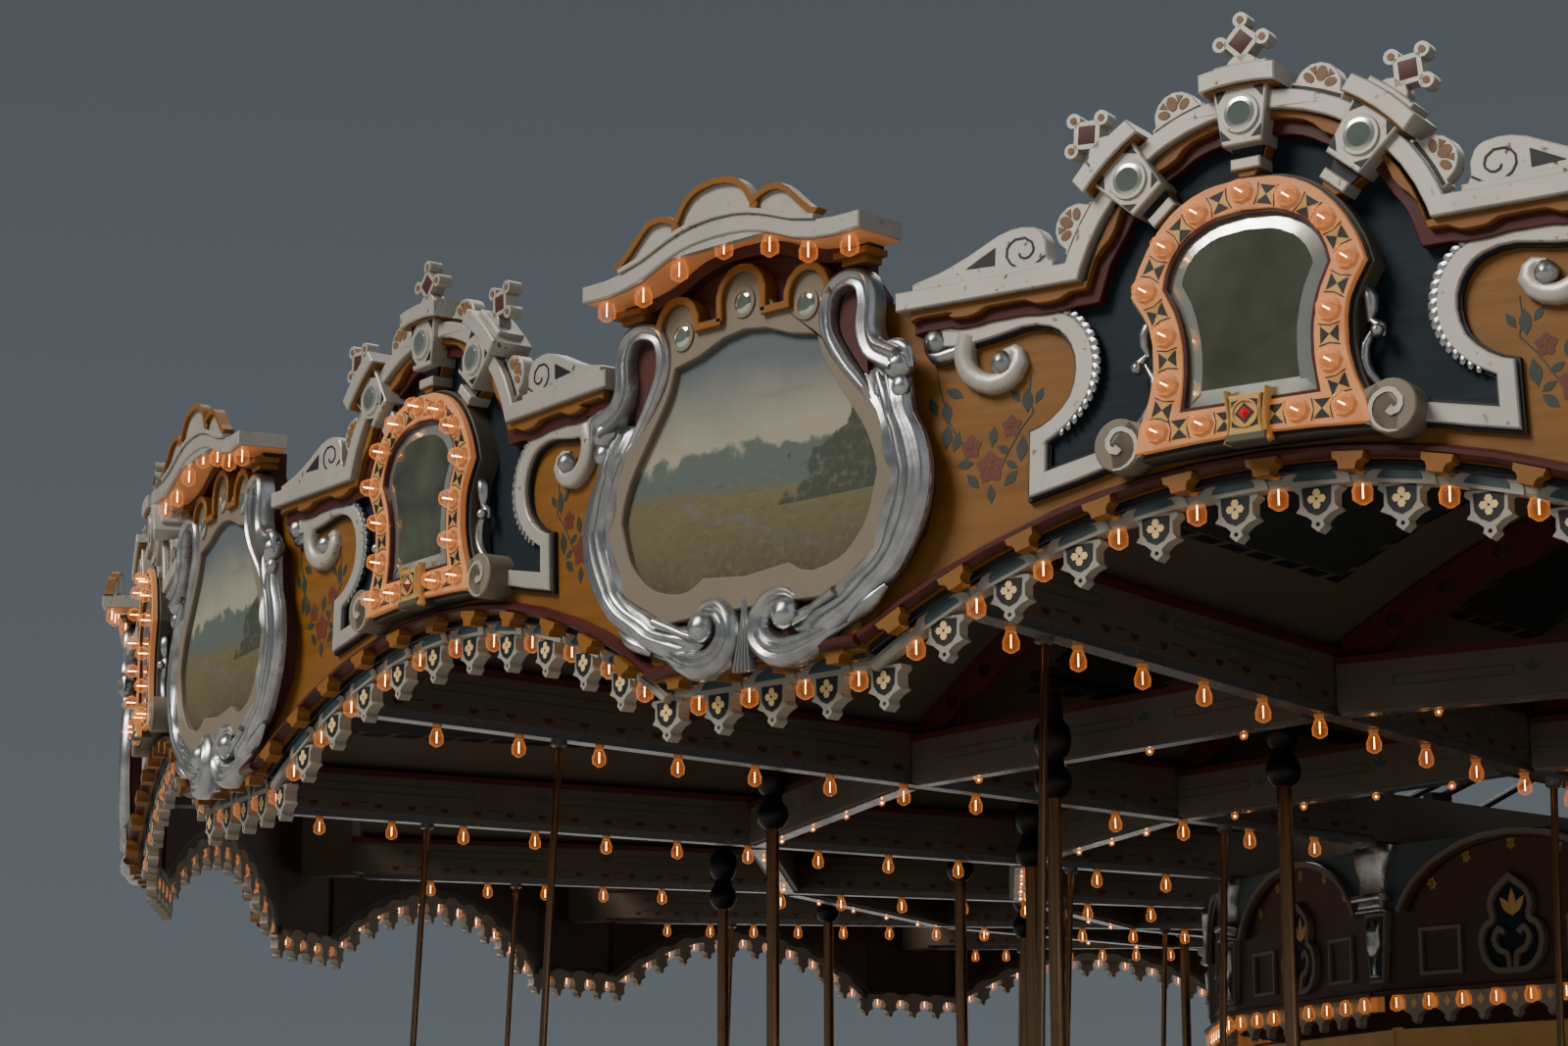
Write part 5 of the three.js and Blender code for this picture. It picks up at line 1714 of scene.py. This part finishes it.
for name, node in frame["nodes"].items():
    look = next(value for key, value in node_looks.items() if name.startswith(key))
    node.data.materials.clear()
    node.data.materials.append(look.material)


# Studio: each light has its name, bearing, height, power, spread and tint
SUNS = (("key", -22, 42, 3.8, 26, (1.0, 0.96, 0.89)), ("fill", 75, 30, 0.38, 60, (0.88, 0.93, 1.0)),
        ("back", 205, 40, 1.1, 50, (1.0, 0.97, 0.93)))
CAMERA_AT = (12.1253, 4.8336, 1.7201)
CAMERA_TURN = (3.90439642, 0.207909698, -0.00286506)


def sky():
    """Soft grey that is brightest at the horizon and dark below."""
    world = bpy.data.worlds.new("studio_world")
    bpy.context.scene.world = world
    world.use_nodes = True
    tree = world.node_tree
    place = tree.nodes.new("ShaderNodeTexCoord")
    split = tree.nodes.new("ShaderNodeSeparateXYZ")
    ramp = tree.nodes.new("ShaderNodeValToRGB")
    tree.links.new(place.outputs["Generated"], split.inputs[0])
    tree.links.new(split.outputs["Z"], ramp.inputs["Fac"])
    stops = ramp.color_ramp.elements
    stops[0].position, stops[0].color = 0.0, (0.30, 0.345, 0.38, 1.0)
    stops[1].position, stops[1].color = 1.0, (0.07, 0.085, 0.10, 1.0)
    middle = stops.new(0.42)
    middle.color = (0.19, 0.225, 0.26, 1.0)
    back = tree.nodes["Background"]
    tree.links.new(ramp.outputs["Color"], back.inputs["Color"])
    back.inputs["Strength"].default_value = 0.40


def studio():
    floor = bpy.data.meshes.new("studio_floor")
    rim = 400 * np.exp(2j * np.pi * np.arange(64) / 64)
    floor.from_pydata([(p.real, p.imag, -0.002) for p in rim], [], [tuple(range(64))])
    pale = Surface("studio_pale", (0.50, 0.49, 0.47), 0.8)
    floor.materials.append(pale.material)
    obj = bpy.data.objects.new("studio_floor", floor)
    bpy.context.scene.collection.objects.link(obj)
    sky()
    for name, azimuth, height, power, spread, tint in SUNS:
        light = bpy.data.lights.new(name, "SUN")
        light.energy = power
        light.angle = math.radians(spread)
        light.color = tint
        lamp_obj = bpy.data.objects.new(name, light)
        turn_z, rise = math.radians(azimuth), math.radians(height)
        out = Vector((math.cos(turn_z) * math.cos(rise), math.sin(turn_z) * math.cos(rise), math.sin(rise)))
        lamp_obj.rotation_euler = (-out).to_track_quat("-Z", "Y").to_euler()
        lamp_obj.location = out * 20
        bpy.context.scene.collection.objects.link(lamp_obj)


def camera():
    yaw, pitch, roll = CAMERA_TURN
    ahead = Vector((math.cos(yaw) * math.cos(pitch), math.sin(yaw) * math.cos(pitch), math.sin(pitch)))
    right = ahead.cross(Vector((0, 0, 1))).normalized()
    over = right.cross(ahead)
    c, s = math.cos(roll), math.sin(roll)
    right, over = right * c + over * s, over * c - right * s
    data = bpy.data.cameras.new("photo_camera")
    data.lens = 75.0
    data.sensor_width = 36.0
    data.clip_end = 200
    obj = bpy.data.objects.new("photo_camera", data)
    turn_matrix = Matrix((right, over, -ahead)).transposed().to_4x4()
    obj.matrix_world = Matrix.Translation(CAMERA_AT) @ turn_matrix
    bpy.context.scene.collection.objects.link(obj)
    bpy.context.scene.camera = obj


studio()
camera()
